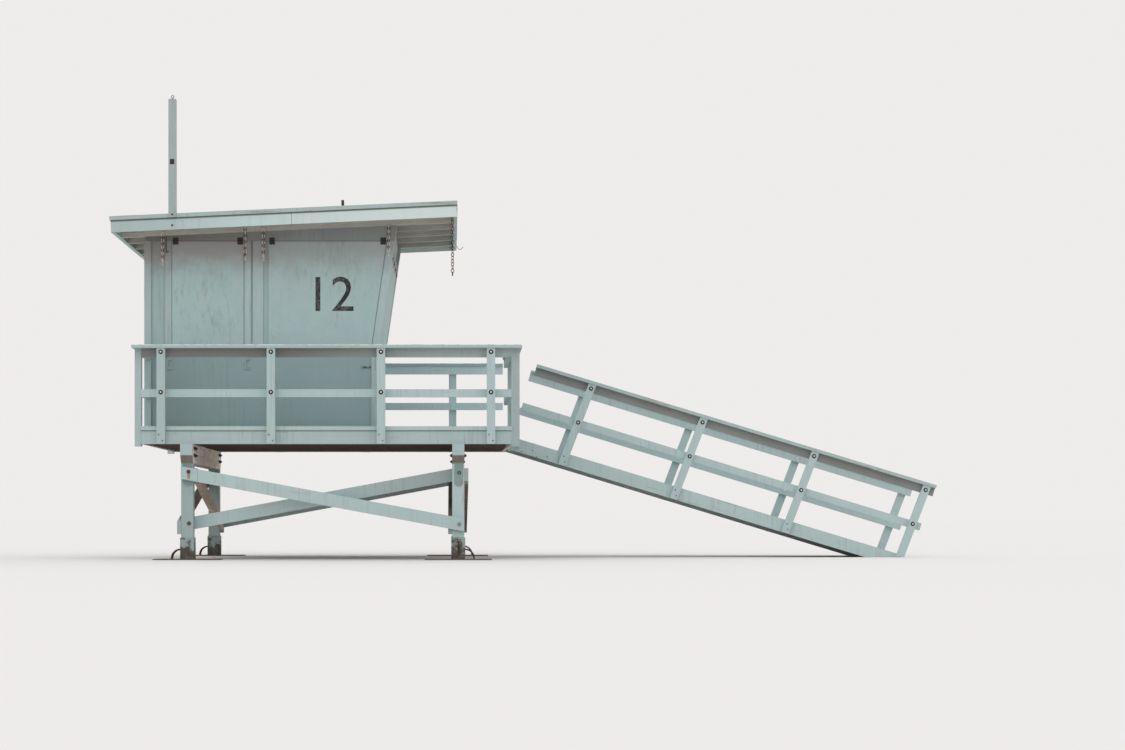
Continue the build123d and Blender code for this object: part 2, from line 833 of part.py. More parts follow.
def hinge_leaf(pin_plane):
    """Add the fixed half: a plate above the pin, a knuckle at each end and the pin itself."""
    with BuildSketch(pin_plane) as pin:
        Circle(pin_d / 2)
    extrude(pin.sketch, amount=strap_w / 2, both=True)
    for end in (-1, 1):
        with BuildSketch(pin_plane.offset(end * (strap_w / 2 - end_knuckle_w / 2))) as knuckle:
            Circle(knuckle_r)
            with Locations((plate_x, strap_len / 2)):
                Rectangle(strap_t, strap_len)
        extrude(knuckle.sketch, amount=end_knuckle_w / 2, both=True)
    with BuildSketch(pin_plane) as plate:
        with Locations((plate_x, plate_start + plate_h / 2)):
            Rectangle(strap_t, plate_h)
    extrude(plate.sketch, amount=strap_w / 2, both=True)


with BuildPart() as far_shutter:
    cut_from_side(front_panel_outline, (-near_face_y - shutter_t, -near_face_y))
    for x in front_strap_xs:
        hinge_strap(far_pin_plane(x))
finish(far_shutter, "far_shutter")

with BuildPart() as near_rear_straps:
    for x in rear_strap_xs:
        hinge_strap(near_pin_plane(x))
finish(near_rear_straps, "near_rear_straps")

with BuildPart() as near_front_straps:
    for x in front_strap_xs:
        hinge_strap(near_pin_plane(x))
finish(near_front_straps, "near_front_straps")

with BuildPart() as front_straps:
    for y in front_strap_ys:
        hinge_strap(front_pin_plane(y))
finish(front_straps, "front_straps")

with BuildPart() as hinge_leaves:
    for x in rear_strap_xs + front_strap_xs:
        hinge_leaf(near_pin_plane(x))
    for x in front_strap_xs:
        hinge_leaf(far_pin_plane(x))
    for y in front_strap_ys:
        hinge_leaf(front_pin_plane(y))
finish(hinge_leaves, "hinge_leaves")

latch_top_z = shutter_z[0] - latch_drop
latch_face_y = -wall_y
latch_outline = (
    (-latch_w / 2, -latch_h),
    (latch_w / 2, -latch_h),
    (latch_w / 2, -latch_h + latch_bar_h),
    (-latch_w / 2 + latch_bar_h, -latch_h + latch_bar_h),
    (-latch_w / 2 + latch_bar_h, -latch_bar_h),
    (latch_w / 2, -latch_bar_h),
    (latch_w / 2, 0),
    (-latch_w / 2, 0),
)
with BuildPart() as shutter_latches:
    for x in (rear_batten_xs[0] + side_batten_w - latch_w / 2, rear_batten_xs[1] + latch_w / 2):
        placed = [(x + dx, latch_top_z + dz) for dx, dz in latch_outline]
        cut_from_side(placed, (latch_face_y - latch_t, latch_face_y))
finish(shutter_latches, "shutter_latches")

# Roof
fascia_u = (fascia_setback, roof_length - fascia_setback)
fascia_y = (half_width - fascia_setback - plank_t, half_width - fascia_setback)
rafter_u = (fascia_u[0] + plank_t, fascia_u[1] - plank_t)
outer_rafter_y = wall_y + frieze_t - plank_t / 2
rafter_ys = spread(-outer_rafter_y, outer_rafter_y, inner_rafter_count)

with BuildPart() as rafters:
    for y in rafter_ys:
        roof_board(rafter_u, (y - plank_t / 2, y + plank_t / 2), (0, rafter_depth))
finish(rafters, "rafters")

with BuildPart() as side_fascias:
    for side in (-1, 1):
        roof_board(fascia_u, mirrored(fascia_y, side), (0, rafter_depth))
finish(side_fascias, "side_fascias")

with BuildPart() as end_fascias:
    for u in (fascia_u[0], fascia_u[1] - plank_t):
        roof_board((u, u + plank_t), (-fascia_y[0], fascia_y[0]), (0, rafter_depth))
finish(end_fascias, "end_fascias")

roof_middle = roof_length / 2
with BuildPart() as drip_edges:
    with BuildSketch(roof_plane(rafter_depth)):
        with Locations((roof_middle, 0)):
            Rectangle(roof_length, 2 * half_width)
            Rectangle(roof_length - 2 * drip_t, 2 * (half_width - drip_t), mode=Mode.SUBTRACT)
    extrude(amount=drip_h)
finish(drip_edges, "drip_edges")

roof_inner_length = roof_length - 2 * drip_t
roof_board_count = int((roof_inner_length + roof_board_gap) // (roof_board_w + roof_board_gap))
roof_board_pitch = (roof_inner_length + roof_board_gap) / roof_board_count
with BuildPart() as roof_boards:
    with BuildSketch(roof_plane(rafter_depth)):
        with Locations((roof_middle, 0)):
            with GridLocations(roof_board_pitch, 0, roof_board_count, 1):
                Rectangle(roof_board_pitch - roof_board_gap, 2 * (half_width - drip_t))
    extrude(amount=roof_board_t)
finish(roof_boards, "roof_boards")

with BuildPart() as roof_felt:
    with BuildSketch(roof_plane(rafter_depth + roof_board_t)):
        with Locations((roof_middle, 0)):
            Rectangle(roof_inner_length - 2 * felt_gap, 2 * (half_width - drip_t - felt_gap))
    extrude(amount=felt_t)
finish(roof_felt, "roof_felt")

mast_x = roof_x0 + mast_from_rear
mast_y0 = -half_width - mast_lap
mast_y = mast_y0 + mast_w / 2
cleat_z = mast_top_z - cleat_below_top
with BuildPart() as mast:
    with BuildSketch(Plane.XY.offset(eave_z)):
        with Locations((mast_x, mast_y)):
            Rectangle(mast_w, mast_w)
    extrude(amount=mast_top_z - eave_z)
    split(bisect_by=roof_plane(rafter_depth), keep=Keep.TOP)
    with BuildSketch(roof_plane(0)) as roof_seat:
        with Locations((roof_middle, 0)):
            Rectangle(roof_length, 2 * half_width)
    extrude(roof_seat.sketch, amount=rafter_depth + drip_h, mode=Mode.SUBTRACT)
    with BuildSketch(side_plane(mast_y0)) as pocket:
        with Locations((mast_x, cleat_z)):
            Rectangle(cleat_w, cleat_h)
    extrude(pocket.sketch, amount=-cleat_recess, mode=Mode.SUBTRACT)
    top_face = mast.faces().sort_by(Axis.Z)[-1]
    chamfer(top_face.edges(), length=edge_break)
finish(mast, "mast")

ring_centre_z = mast_top_z + mast_ring_stem + mast_ring_r
with BuildPart() as roof_fittings:
    with BuildSketch(side_plane(mast_y0)) as cleat:
        with Locations((mast_x, cleat_z)):
            Rectangle(cleat_w, cleat_h)
    extrude(cleat.sketch, amount=-cleat_recess)
    with BuildSketch(Plane.XY.offset(mast_top_z)) as stem:
        with Locations((mast_x, mast_y)):
            Circle(mast_ring_stem_d / 2)
    extrude(stem.sketch, amount=mast_ring_stem)
    with BuildSketch(Plane.YZ.offset(mast_x)) as ring:
        with Locations((mast_y, ring_centre_z + mast_ring_r)):
            Circle(mast_ring_rod_d / 2)
    revolve(ring.sketch, axis=Axis((mast_x, mast_y, ring_centre_z), (0, 1, 0)))
    with BuildSketch(roof_plane(rafter_depth + roof_board_t + felt_t)) as pipe:
        with Locations((roof_pipe_from_rear, -half_width + roof_pipe_from_edge)):
            Circle(roof_pipe_d / 2)
    extrude(pipe.sketch, amount=roof_pipe_h)
finish(roof_fittings, "roof_fittings")

# Ramp
ramp_post_y = (ramp_y0, ramp_y0 + plank_t)
near_rail_y = (ramp_y0 + plank_t, ramp_y0 + 2 * plank_t)
far_rail_y = (ramp_y1 - 2 * plank_t, ramp_y1 - plank_t)
far_post_y = (ramp_y1 - plank_t, ramp_y1)
walk_y = (near_rail_y[1], far_rail_y[0])
ramp_cap_bottom = ramp_cap_top - cap_t
stringer_drop = stringer_depth / ramp_cos
sole_x = ramp_x0 + (ramp_z0 - stringer_drop) / ramp_slope
stringer_outline = (
    (ramp_x0, ramp_z0),
    (ramp_x0, ramp_z0 - stringer_drop),
    (sole_x, 0),
    (ramp_x0 + ramp_run, 0),
    (ramp_x0 + ramp_run, ramp_toe_h),
)
with BuildPart() as ramp_stringers:
    for y_span in (near_rail_y, far_rail_y):
        cut_from_side(stringer_outline, y_span)
finish(ramp_stringers, "ramp_stringers")

walk_middle = sum(walk_y) / 2
walk_top = -ramp_board_recess
walk_bottom = walk_top - ramp_board_t
walk_length = ramp_length - ramp_board_start
walk_count = int((walk_length + ramp_board_gap) // (ramp_board_w + ramp_board_gap))
walk_pitch = (walk_length + ramp_board_gap) / walk_count
walk_first = ramp_board_start + (walk_pitch - ramp_board_gap) / 2
walk_us = [walk_first + walk_pitch * i for i in range(walk_count)]
above_ground = Plane.XY.offset(ground_clearance)
with BuildPart() as ramp_boards:
    for u in walk_us:
        half = (walk_pitch - ramp_board_gap) / 2
        ramp_board((u - half, u + half), walk_y, (walk_bottom, walk_top))
    split(bisect_by=above_ground, keep=Keep.TOP)
finish(ramp_boards, "ramp_boards")

with BuildPart() as ramp_battens:
    for u in walk_us[::boards_per_batten]:
        ramp_board(
            (u - batten_w / 2, u + batten_w / 2),
            (walk_y[0] + batten_end_gap, walk_y[1] - batten_end_gap),
            (walk_top, walk_top + batten_t),
        )
finish(ramp_battens, "ramp_battens")

ledger_bottom = walk_bottom - ledger_h
ledger_end = (ramp_z0 + ledger_bottom * ramp_cos) / ramp_sin
ledger_ys = (
    (walk_y[0], walk_y[0] + ledger_w),
    (walk_middle - ledger_w / 2, walk_middle + ledger_w / 2),
    (walk_y[1] - ledger_w, walk_y[1]),
)
with BuildPart() as ramp_ledgers:
    for y_span in ledger_ys:
        ramp_board((ledger_inset, ledger_end), y_span, (ledger_bottom, walk_bottom))
    split(bisect_by=above_ground, keep=Keep.TOP)
finish(ramp_ledgers, "ramp_ledgers")

post_lean = tan(radians(ramp_post_lean))
post_half = post_w / cos(radians(ramp_post_lean)) / 2
post_foot_shift = (-stringer_depth - ramp_post_ref) * post_lean
post_head_shift = (ramp_cap_bottom - ramp_post_ref) * post_lean
ramp_post_us = spread(ramp_post_first, ramp_length + ramp_last_post_offset, ramp_post_count)
with BuildPart() as ramp_posts:
    for y_span, shift in ((ramp_post_y, 0), (far_post_y, -ramp_far_post_shift)):
        for post_u in ramp_post_us:
            u = post_u + shift
            with BuildSketch(ramp_plane(y_span[0])) as face:
                with BuildLine():
                    Polyline(
                        (u + post_foot_shift - post_half, -stringer_depth),
                        (u + post_foot_shift + post_half, -stringer_depth),
                        (u + post_head_shift + post_half, ramp_cap_bottom),
                        (u + post_head_shift - post_half, ramp_cap_bottom),
                        close=True,
                    )
                make_face()
            extrude(face.sketch, amount=-plank_t)
    split(bisect_by=above_ground, keep=Keep.TOP)
finish(ramp_posts, "ramp_posts")

ramp_rail_u = (ramp_rail_start, ramp_length + ramp_rail_overhang)
ramp_cap_u = (ramp_cap_start, ramp_cap_end)
ramp_bands = (
    (ramp_mid_board - mid_board_h / 2, ramp_mid_board + mid_board_h / 2),
    (ramp_cap_bottom - top_board_h, ramp_cap_bottom),
)
with BuildPart() as ramp_rails:
    ramp_board(ramp_rail_u, near_rail_y, ramp_bands[0])
    ramp_board(ramp_cap_u, near_rail_y, ramp_bands[1])
    for n_span in ramp_bands:
        ramp_board(ramp_rail_u, far_rail_y, n_span)
finish(ramp_rails, "ramp_rails")

near_cap_y = (ramp_y0 - cap_lip, near_rail_y[1] + cap_lip)
far_cap_y = (far_rail_y[0] - cap_lip, ramp_y1 + cap_lip)
with BuildPart() as ramp_caps:
    ramp_board(ramp_cap_u, near_cap_y, (ramp_cap_bottom, ramp_cap_top))
    ramp_board(ramp_rail_u, far_cap_y, (ramp_cap_bottom, ramp_cap_top))
finish(ramp_caps, "ramp_caps")

bracket_z = ramp_z0 - stringer_drop
with BuildPart() as ramp_brackets:
    for stringer_y, outward in ((near_rail_y[0], -1), (far_rail_y[1], 1)):
        inner_y = stringer_y - outward * (plank_t + bracket_flange)
        squared_board(
            (deck_x1, deck_x1 + bracket_t),
            tuple(sorted((inner_y, stringer_y + outward * bracket_t))),
            (bracket_z, bracket_z + bracket_h),
        )
        squared_board(
            (deck_x1, deck_x1 + bracket_arm),
            tuple(sorted((stringer_y, stringer_y + outward * bracket_t))),
            (bracket_z, bracket_z + bracket_h),
        )
finish(ramp_brackets, "ramp_brackets")
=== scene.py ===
"""Looks of a weathered beach lifeguard tower: paint, fastenings, chains, window trim and stage.

Metres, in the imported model's own frame: Z up from the sand, +X towards the foot of the ramp,
and -Y the side that faces the camera.
"""

import math

import bmesh
import bpy
from mathutils import Matrix, Vector


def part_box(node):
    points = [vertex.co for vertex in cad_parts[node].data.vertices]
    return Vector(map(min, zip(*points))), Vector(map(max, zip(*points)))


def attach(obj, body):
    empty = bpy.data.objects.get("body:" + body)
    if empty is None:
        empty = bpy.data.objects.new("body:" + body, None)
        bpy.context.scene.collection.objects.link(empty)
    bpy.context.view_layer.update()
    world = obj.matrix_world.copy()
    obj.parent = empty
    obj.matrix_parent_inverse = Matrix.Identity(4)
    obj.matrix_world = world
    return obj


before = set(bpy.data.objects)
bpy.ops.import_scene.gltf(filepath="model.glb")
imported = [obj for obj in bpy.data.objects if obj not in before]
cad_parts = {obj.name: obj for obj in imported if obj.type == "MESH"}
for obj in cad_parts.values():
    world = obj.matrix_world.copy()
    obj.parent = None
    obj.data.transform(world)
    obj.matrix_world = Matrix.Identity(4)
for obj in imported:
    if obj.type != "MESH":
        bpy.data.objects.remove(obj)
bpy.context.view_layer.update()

bl_info = {
    "name": "Lifeguard Tower Looks",
    "version": (1, 0, 0),
    "blender": (4, 5, 0),
    "location": "View3D > Sidebar > Tower",
    "description": "Dresses a timber lifeguard tower with paint, fastenings, chains and trim",
    "category": "Object",
}

NEAR = Vector((0, -1, 0))
FAR = Vector((0, 1, 0))
AHEAD = Vector((1, 0, 0))
BEHIND = Vector((-1, 0, 0))
UP = Vector((0, 0, 1))
DOWN = Vector((0, 0, -1))


def spread(first, last, count):
    """Evenly spaced values from the first to the last."""
    return [first + (last - first) * i / (count - 1) for i in range(count)]


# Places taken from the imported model
rim_low, rim_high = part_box("side_rims")
deck_x0, deck_x1 = rim_low.x, rim_high.x
floor_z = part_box("deck_boards")[1].z
side_face_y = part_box("rail_posts")[1].y
rail_outer_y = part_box("side_rails")[1].y
leg_low, leg_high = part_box("legs")
brace_face_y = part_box("long_braces")[1].y
wall_y = -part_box("near_wall")[0].y
frieze_y = -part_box("header_boards")[0].y
near_panel_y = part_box("near_front_shutter")[0].y
roof_low, roof_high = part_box("drip_edges")
mast_low, mast_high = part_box("mast")
cap_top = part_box("side_caps")[1].z
door_low, door_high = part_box("door")

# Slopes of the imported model
ramp_angle = math.radians(16.86)
roof_angle = math.radians(2.6)
front_lean = math.radians(8.3)
brace_angle = math.atan2(0.655, 3.537)

# Legs, posts and boards
PLANK = 0.051
HALF_LEG = 0.076
LEG_XS = (leg_low.x + HALF_LEG, leg_high.x - HALF_LEG)
LEG_Y = leg_high.y - HALF_LEG
POST_INSET, FAR_POST_GAP = 0.257, 0.734
NEAR_POST_XS = spread(deck_x0 + POST_INSET, deck_x1 - POST_INSET, 4)
FAR_POST_XS = spread(deck_x0 + POST_INSET, deck_x1 - FAR_POST_GAP, 4)
JOIST_YS = spread(-1.257, 1.257, 7)
DECK_BOARDS, BOARD_PITCH = 31, 0.14923
DECK_SCREW_XS = (0.035, 0.110)
DECK_SCREW_YS = (-1.70, *JOIST_YS, 1.70)

# The ramp: u runs down its slope, n stands square to it
RAMP_HEAD = Vector((deck_x1 + 0.006, 0, floor_z - 0.041))
RAMP_ALONG = Vector((math.cos(ramp_angle), 0, -math.sin(ramp_angle)))
RAMP_SQUARE = Vector((math.sin(ramp_angle), 0, math.cos(ramp_angle)))
RAMP_NEAR_Y = 0.331
RAMP_POST_US = spread(0.880, 5.552, 4)
RAMP_POST_LEAN = math.tan(math.radians(4.0))
RAMP_FAR_SHIFT = -0.020
RAMP_BOARDS, RAMP_BOARD_PITCH, RAMP_BOARD_TOP = 37, 0.14812, -0.012
RAMP_BOARD_SCREW_US = (0.051, 0.127)
RAMP_BOARD_SCREW_YS = (RAMP_NEAR_Y + 0.135, 1.67)

# Bolts and screws: u and n are places on the ramp, and a ramp post's screws are n and shift
RAIL_BOLT_ZS = (2.588, 2.087)
RAMP_BOLT_NS = (0.922, 0.438)
POST_SCREW_XZS = ((-0.025, 1.558), (0.023, 1.484))
RAMP_POST_SCREWS = ((-0.048, -0.018), (-0.118, 0.020))
STRINGER_SCREWS = ((0.24, -0.15), (0.375, -0.098), (0.45, -0.165), (0.585, -0.118))
LOWEST_SCREW_Z = 0.05
REAR_BRACE_BOLT_X = LEG_XS[0] + 0.022
FRONT_BRACE_BOLT_X = LEG_XS[1] + 0.012
HIGH_BRACE_BOLT_Z, LOW_BRACE_BOLT_Z = 1.10, 0.447
LOW_LEG_BOLT_Z, HIGH_LEG_BOLT_Z = 0.455, 1.09
BEAM_BOLT_ZS = (1.394, 1.305)
BEAM_BOLT_YS = (-LEG_Y - 0.02, -LEG_Y + 0.16, LEG_Y - 0.16, LEG_Y + 0.02)
LEG_PLATE_SHIFT, LEG_PLATE_Z = 0.006, 1.068

# Eyes of the near shutters' chains, the last two on the far side too: x, height and drop
SHUTTER_CHAINS = (
    (-4.773, 4.134, 0.345), (-3.728, 4.200, 0.375), (-3.496, 4.190, 0.365), (-1.912, 4.215, 0.300),
)
FRONT_CHAIN_X, FRONT_CHAIN_END_Z = -1.101, 3.56
LINK_TURN, FIRST_LINK_TURN = 97, 20
STAY_TOP = Vector((-4.731, -wall_y - 0.038, 4.095))
EAVE_HOOK_Y = 1.75
EAVE_HOOK_XZS = (
    (-0.030, 0.022), (-0.004, -0.004), (0.010, -0.030), (0.028, -0.050), (0.046, -0.056),
    (0.064, -0.046), (0.080, -0.026), (0.088, -0.014),
)

# Sashes: heights, depth in the wall, ends and bars
SASH_LOW, SASH_HIGH, FRONT_SASH_HIGH = 2.705, 3.985, 3.787
SASH_INSETS, SASH_BAR_HALF = (0.008, 0.038), 0.016
REAR_SASH_X, REAR_SASH_BAR = (-4.6109, -3.7939), (-4.566, 3.330, -3.839, 3.370)
SIDE_SASH_X, SIDE_SASH_BAR_XS = (-3.3879, -2.1683), (-2.981, -2.575)
FRONT_SASH_X, FRONT_SASH_MIDDLE, FRONT_SASH_HALF = (-2.0943, -2.0763), 0.5425, 0.4975

# Slide latch at the front corner, bolts of the mast, tie at the ramp head and number
LATCH_XS, LATCH_STAPLE_XS, LATCH_ROD_XS = (-2.262, -2.150), (-2.245, -2.180), (-2.235, -2.140)
LATCH_Z = 2.437
MAST_BOLT_ZS = (4.293, 4.160)
TIE_Y = -1.700
TIE_XZS = ((-0.372, 1.452), (-0.380, 1.420), (-0.408, 1.400), (-0.445, 1.376), (-0.474, 1.352))
NUMBER_X, NUMBER_Z = -2.651, 3.336
FONT_SIZE_OF_DIGIT = 1.37
PAINT_DEPTH, PAINT_SHIFT = 0.0004, 0.0003

# Where dirt, painted shade and light change the paint: x, y, height or place above the ramp's slope
REAR_SHADE_XS = (-5.0, -3.6)
EAVE_GREY_ZS, EAVE_GREY_XS = (3.52, 3.94), (-3.8, -2.8)
CAP_SHADE_ZS, CAP_SHADE_XS, CAP_SHADE_Y = (2.520, 2.534), (-3.4, -0.9), -1.70
RAMP_CAP_SHADE_NS, RAMP_CAP_SHADE_Y = (0.865, 0.878), 0.60
FAR_RAILING_YS = (1.60, 1.80)
FRONT_PALING_XS = (-5.2, -0.6)

# Stage
FLOOR_REACH, FLOOR_DROP = 400.0, 0.001
SKY_TINT = (1.0, 0.99, 0.985)
LAMP_SPREAD = math.radians(70)
LAMP_TILT = (math.radians(22), math.radians(-12), 0)


def linear(red, green, blue):
    """Screen colour from 0 to 255 as a shader colour."""
    def channel(value):
        share = value / 255
        return share / 12.92 if share <= 0.04045 else ((share + 0.055) / 1.055) ** 2.4

    return (channel(red), channel(green), channel(blue))


def chosen(name):
    """One of the colours that a user may change, as a plain tuple."""
    return tuple(getattr(bpy.context.scene.tower_timber, name))


# Shader expressions


def plug(tree, value, socket):
    """Link a node's output to a socket, or set the socket to a plain value."""
    if isinstance(value, Output):
        tree.links.new(value.socket, socket)
    elif isinstance(value, tuple) and len(value) == 3 and socket.type == "RGBA":
        socket.default_value = (*value, 1.0)
    else:
        socket.default_value = value


def sum_of(operation, swapped=False):
    """Method of an output that joins it to another value with a Math node."""
    def method(self, other=0.0):
        first, second = (other, self) if swapped else (self, other)
        return self.maths(operation, first, second)

    return method


class Output:
    """A node's output, on which ordinary sums add Math nodes."""

    def __init__(self, tree, socket):
        self.tree = tree
        self.socket = socket

    def maths(self, operation, first, second):
        """Add one Math node to the tree and return what it gives."""
        made = self.tree.nodes.new("ShaderNodeMath")
        made.operation = operation
        plug(self.tree, first, made.inputs[0])
        plug(self.tree, second, made.inputs[1])
        return Output(self.tree, made.outputs[0])

    __add__ = sum_of("ADD")
    __radd__ = sum_of("ADD", swapped=True)
    __sub__ = sum_of("SUBTRACT")
    __rsub__ = sum_of("SUBTRACT", swapped=True)
    __mul__ = sum_of("MULTIPLY")
    __rmul__ = sum_of("MULTIPLY", swapped=True)
    __truediv__ = sum_of("DIVIDE")
    __rtruediv__ = sum_of("DIVIDE", swapped=True)
    __mod__ = sum_of("FLOORED_MODULO")
    __or__ = sum_of("MAXIMUM")
    __lt__ = sum_of("LESS_THAN")
    __gt__ = sum_of("GREATER_THAN")
    __abs__ = sum_of("ABSOLUTE")
    floor = sum_of("FLOOR")


class Nodes:
    """The node tree of a material or of the world."""

    def __init__(self, owner):
        owner.use_nodes = True
        self.tree = owner.node_tree
        self.tree.nodes.clear()

    def node(self, kind, settings=None, inputs=None, output=0):
        """Add any node: its settings first, then the values or links of its inputs."""
        made = self.tree.nodes.new(f"ShaderNode{kind}")
        for name, value in (settings or {}).items():
            setattr(made, name, value)
        for key, value in (inputs or {}).items():
            plug(self.tree, value, made.inputs[key])
        return Output(self.tree, made.outputs[output])

    def split(self, vector, axis):
        """One coordinate of a vector."""
        return self.node("SeparateXYZ", {}, {0: vector}, axis)

    def show(self, seen, unseen):
        """One shader on rays that the camera sees, straight or by glass and gloss, else another."""
        camera = self.node("LightPath", output="Is Camera Ray")
        gloss = self.node("LightPath", output="Is Glossy Ray")
        glass = self.node("LightPath", output="Is Transmission Ray")
        return self.node("MixShader", {}, {0: camera | gloss | glass, 1: unseen, 2: seen})

    def end(self, kind, surface):
        """Lead a shader to the tree's output."""
        output = self.tree.nodes.new(f"ShaderNodeOutput{kind}")
        self.tree.links.new(surface.socket, output.inputs["Surface"])


class Finish(Nodes):
    """One material, whose nodes come from expressions on Object coordinates."""

    def __init__(self, name):
        self.material = bpy.data.materials.new(name)
        super().__init__(self.material)
        self.place = self.node("TexCoord", output="Object")
        self.x, self.y, self.z = (self.split(self.place, axis) for axis in range(3))

    def noise(self, vector, scale, detail=3.0, roughness=0.55, distortion=0.0):
        """Cloudy noise from 0 to 1."""
        inputs = {
            "Vector": vector, "Scale": scale, "Detail": detail,
            "Roughness": roughness, "Distortion": distortion,
        }
        return self.node("TexNoise", {}, inputs, "Fac")

    def stretched(self, vector, factors):
        """Coordinates scaled by a factor on each axis."""
        return self.node("VectorMath", {"operation": "MULTIPLY"}, {0: vector, 1: factors})

    def turned(self, angles):
        """Coordinates turned about the axes."""
        return self.node("Mapping", {}, {"Vector": self.place, "Rotation": angles})

    def step(self, value, low, high):
        """Smooth rise from 0 to 1 as a value goes from low to high."""
        inputs = {"Value": value, "From Min": low, "From Max": high}
        return self.node("MapRange", {"interpolation_type": "SMOOTHSTEP"}, inputs)

    def blend(self, share, first, second):
        """Mix of two colours."""
        return self.node("Mix", {"data_type": "RGBA"}, {0: share, 6: first, 7: second}, 2)

    def film(self, share, colour, name):
        """A share of one of the user's colours over a colour."""
        return self.blend(share, colour, chosen(name))

    def shade(self, colour, level):
        """A colour made darker or paler by a value."""
        return self.node("VectorMath", {"operation": "SCALE"}, {0: colour, "Scale": level})

    def looking(self, way):
        """1 on faces that look up (1) or down (-1), 0 on the rest."""
        normal = self.node("NewGeometry", output="Normal")
        return self.step(self.split(normal, 2) * way, 0.4, 0.8)

    def close(self, colour, roughness, height, bump=0.4, depth=0.002, metallic=0.0):
        """Join colour, roughness and relief to the surface."""
        normal = self.node("Bump", {}, {"Strength": bump, "Distance": depth, "Height": height})
        inputs = {
            "Base Color": colour, "Roughness": roughness, "Normal": normal, "Metallic": metallic,
        }
        self.end("Material", self.node("BsdfPrincipled", {}, inputs))
        return self.material


def brace_turn(finish):
    """The grain of each long brace, brought level from its own slope."""
    outer = (finish.y < -LEG_Y) | ((finish.y > 0.0) * (finish.y < LEG_Y))
    falling = finish.turned((0.0, -brace_angle, 0.0))
    rising = finish.turned((0.0, brace_angle, 0.0))
    return finish.node("Mix", {"data_type": "VECTOR"}, {0: outer, 4: rising, 5: falling}, 1)


# How the grain runs: a turn that brings sloping boards level, then the stretch along them
LEVEL, SLOPED, RAMPED = (0.0, 0.0, 0.0), (0.0, roof_angle, 0.0), (0.0, -ramp_angle, 0.0)
GRAINS = {
    "along": (LEVEL, (0.05, 1.0, 1.0)),
    "across": (LEVEL, (1.0, 0.05, 1.0)),
    "upright": (LEVEL, (1.0, 1.0, 0.05)),
    "roof": (SLOPED, (0.05, 1.0, 1.0)),
    "ramp": (RAMPED, (0.05, 1.0, 1.0)),
    "ramp_upright": (RAMPED, (1.0, 1.0, 0.05)),
    "brace": (brace_turn, (0.05, 1.0, 1.0)),
}


def streak_space(finish):
    """Coordinates drawn out down the height, for rain marks."""
    return finish.stretched(finish.place, (1.0, 1.0, 0.05))


def board_space(finish, grain):
    """Coordinates drawn out along the grain, turned level for boards on a slope."""
    turn, factors = GRAINS[grain]
    if turn is LEVEL:
        return finish.stretched(finish.place, factors)
    return finish.stretched(turn(finish) if callable(turn) else finish.turned(turn), factors)


# Coats of paint and timber


def timber_coat(finish, space, wear, grime, tone=1.0):
    """Old paint on timber: colour, roughness and relief, with bare wood and rain marks."""
    fibre = finish.noise(space, 230.0, 2.0)
    figure = finish.noise(space, 42.0, 4.0, 0.6, 0.3)
    patch = finish.noise(space, 15.0, 6.0, 0.65)
    cloud = finish.noise(finish.place, 1.6, 4.0, 0.6)
    rain = finish.noise(streak_space(finish), 30.0, 4.0, 0.6)
    score = patch * 0.5 + figure * 0.28 + fibre * 0.1 + cloud * 0.12
    bare = finish.step(score, 0.635 - 0.13 * wear, 0.685 - 0.13 * wear)
    thin = finish.step(score, 0.50 - 0.10 * wear, 0.66 - 0.10 * wear)
    dirt = finish.step(rain * 0.65 + cloud * 0.35, 0.50, 0.74) * grime
    coat = finish.shade(chosen("paint"), cloud * 0.30 + fibre * 0.10 + 0.80 * tone)
    chalk = finish.film(thin * 0.35, coat, "chalky")
    wood = finish.shade(chosen("bare_wood"), fibre * 0.7 + figure * 0.6 + 0.35)
    colour = finish.film(dirt, finish.blend(bare * 0.85, chalk, wood), "grime")
    roughness = bare * 0.18 + dirt * 0.08 + cloud * 0.12 + 0.56
    return colour, roughness, fibre * 0.35 + figure * 0.4 - bare * 0.5


def painted_timber(name, grain, wear=0.4, grime=0.35, tone=1.0, details=()):
    """Material of painted boards whose grain runs one way."""
    finish = Finish(name)
    colour, roughness, relief = timber_coat(finish, board_space(finish, grain), wear, grime, tone)
    for detail in details:
        colour = detail(finish, colour)
    return finish.close(colour, roughness, relief)


def panel_coat(name, wear=0.25, grime=0.4, tone=1.0, fall=0.05, details=()):
    """Material of painted panels, with broad stains and rain marks down the height."""
    finish = Finish(name)
    broad = finish.noise(finish.place, 1.1, 5.0, 0.6)
    blot = finish.noise(finish.place, 6.0, 6.0, 0.68)
    rain = finish.noise(finish.stretched(finish.place, (1.0, 1.0, fall)), 22.0, 5.0, 0.62)
    fine = finish.noise(finish.stretched(finish.place, (1.0, 1.0, fall * 1.6)), 150.0, 2.0)
    colour = finish.blend(broad, chosen("panel_cool"), chosen("panel_green"))
    colour = finish.shade(colour, blot * 0.20 + fine * 0.08 + 0.86 * tone)
    faded = finish.step(rain * 0.5 + blot * 0.5, 0.46, 0.62)
    stain = finish.step(rain * 0.6 + broad * 0.4, 0.50, 0.72) * grime
    bare = finish.step(blot * 0.7 + fine * 0.3, 0.66 - 0.1 * wear, 0.70 - 0.1 * wear)
    for share, cover in ((faded * 0.30, "chalky"), (stain, "grime"), (bare * 0.7, "bare_wood")):
        colour = finish.film(share, colour, cover)
    for detail in details:
        colour = detail(finish, colour)
    roughness = blot * 0.18 + stain * 0.1 + 0.50
    return finish.close(colour, roughness, fine * 0.5 + blot * 0.3 - bare * 0.4, 0.25)


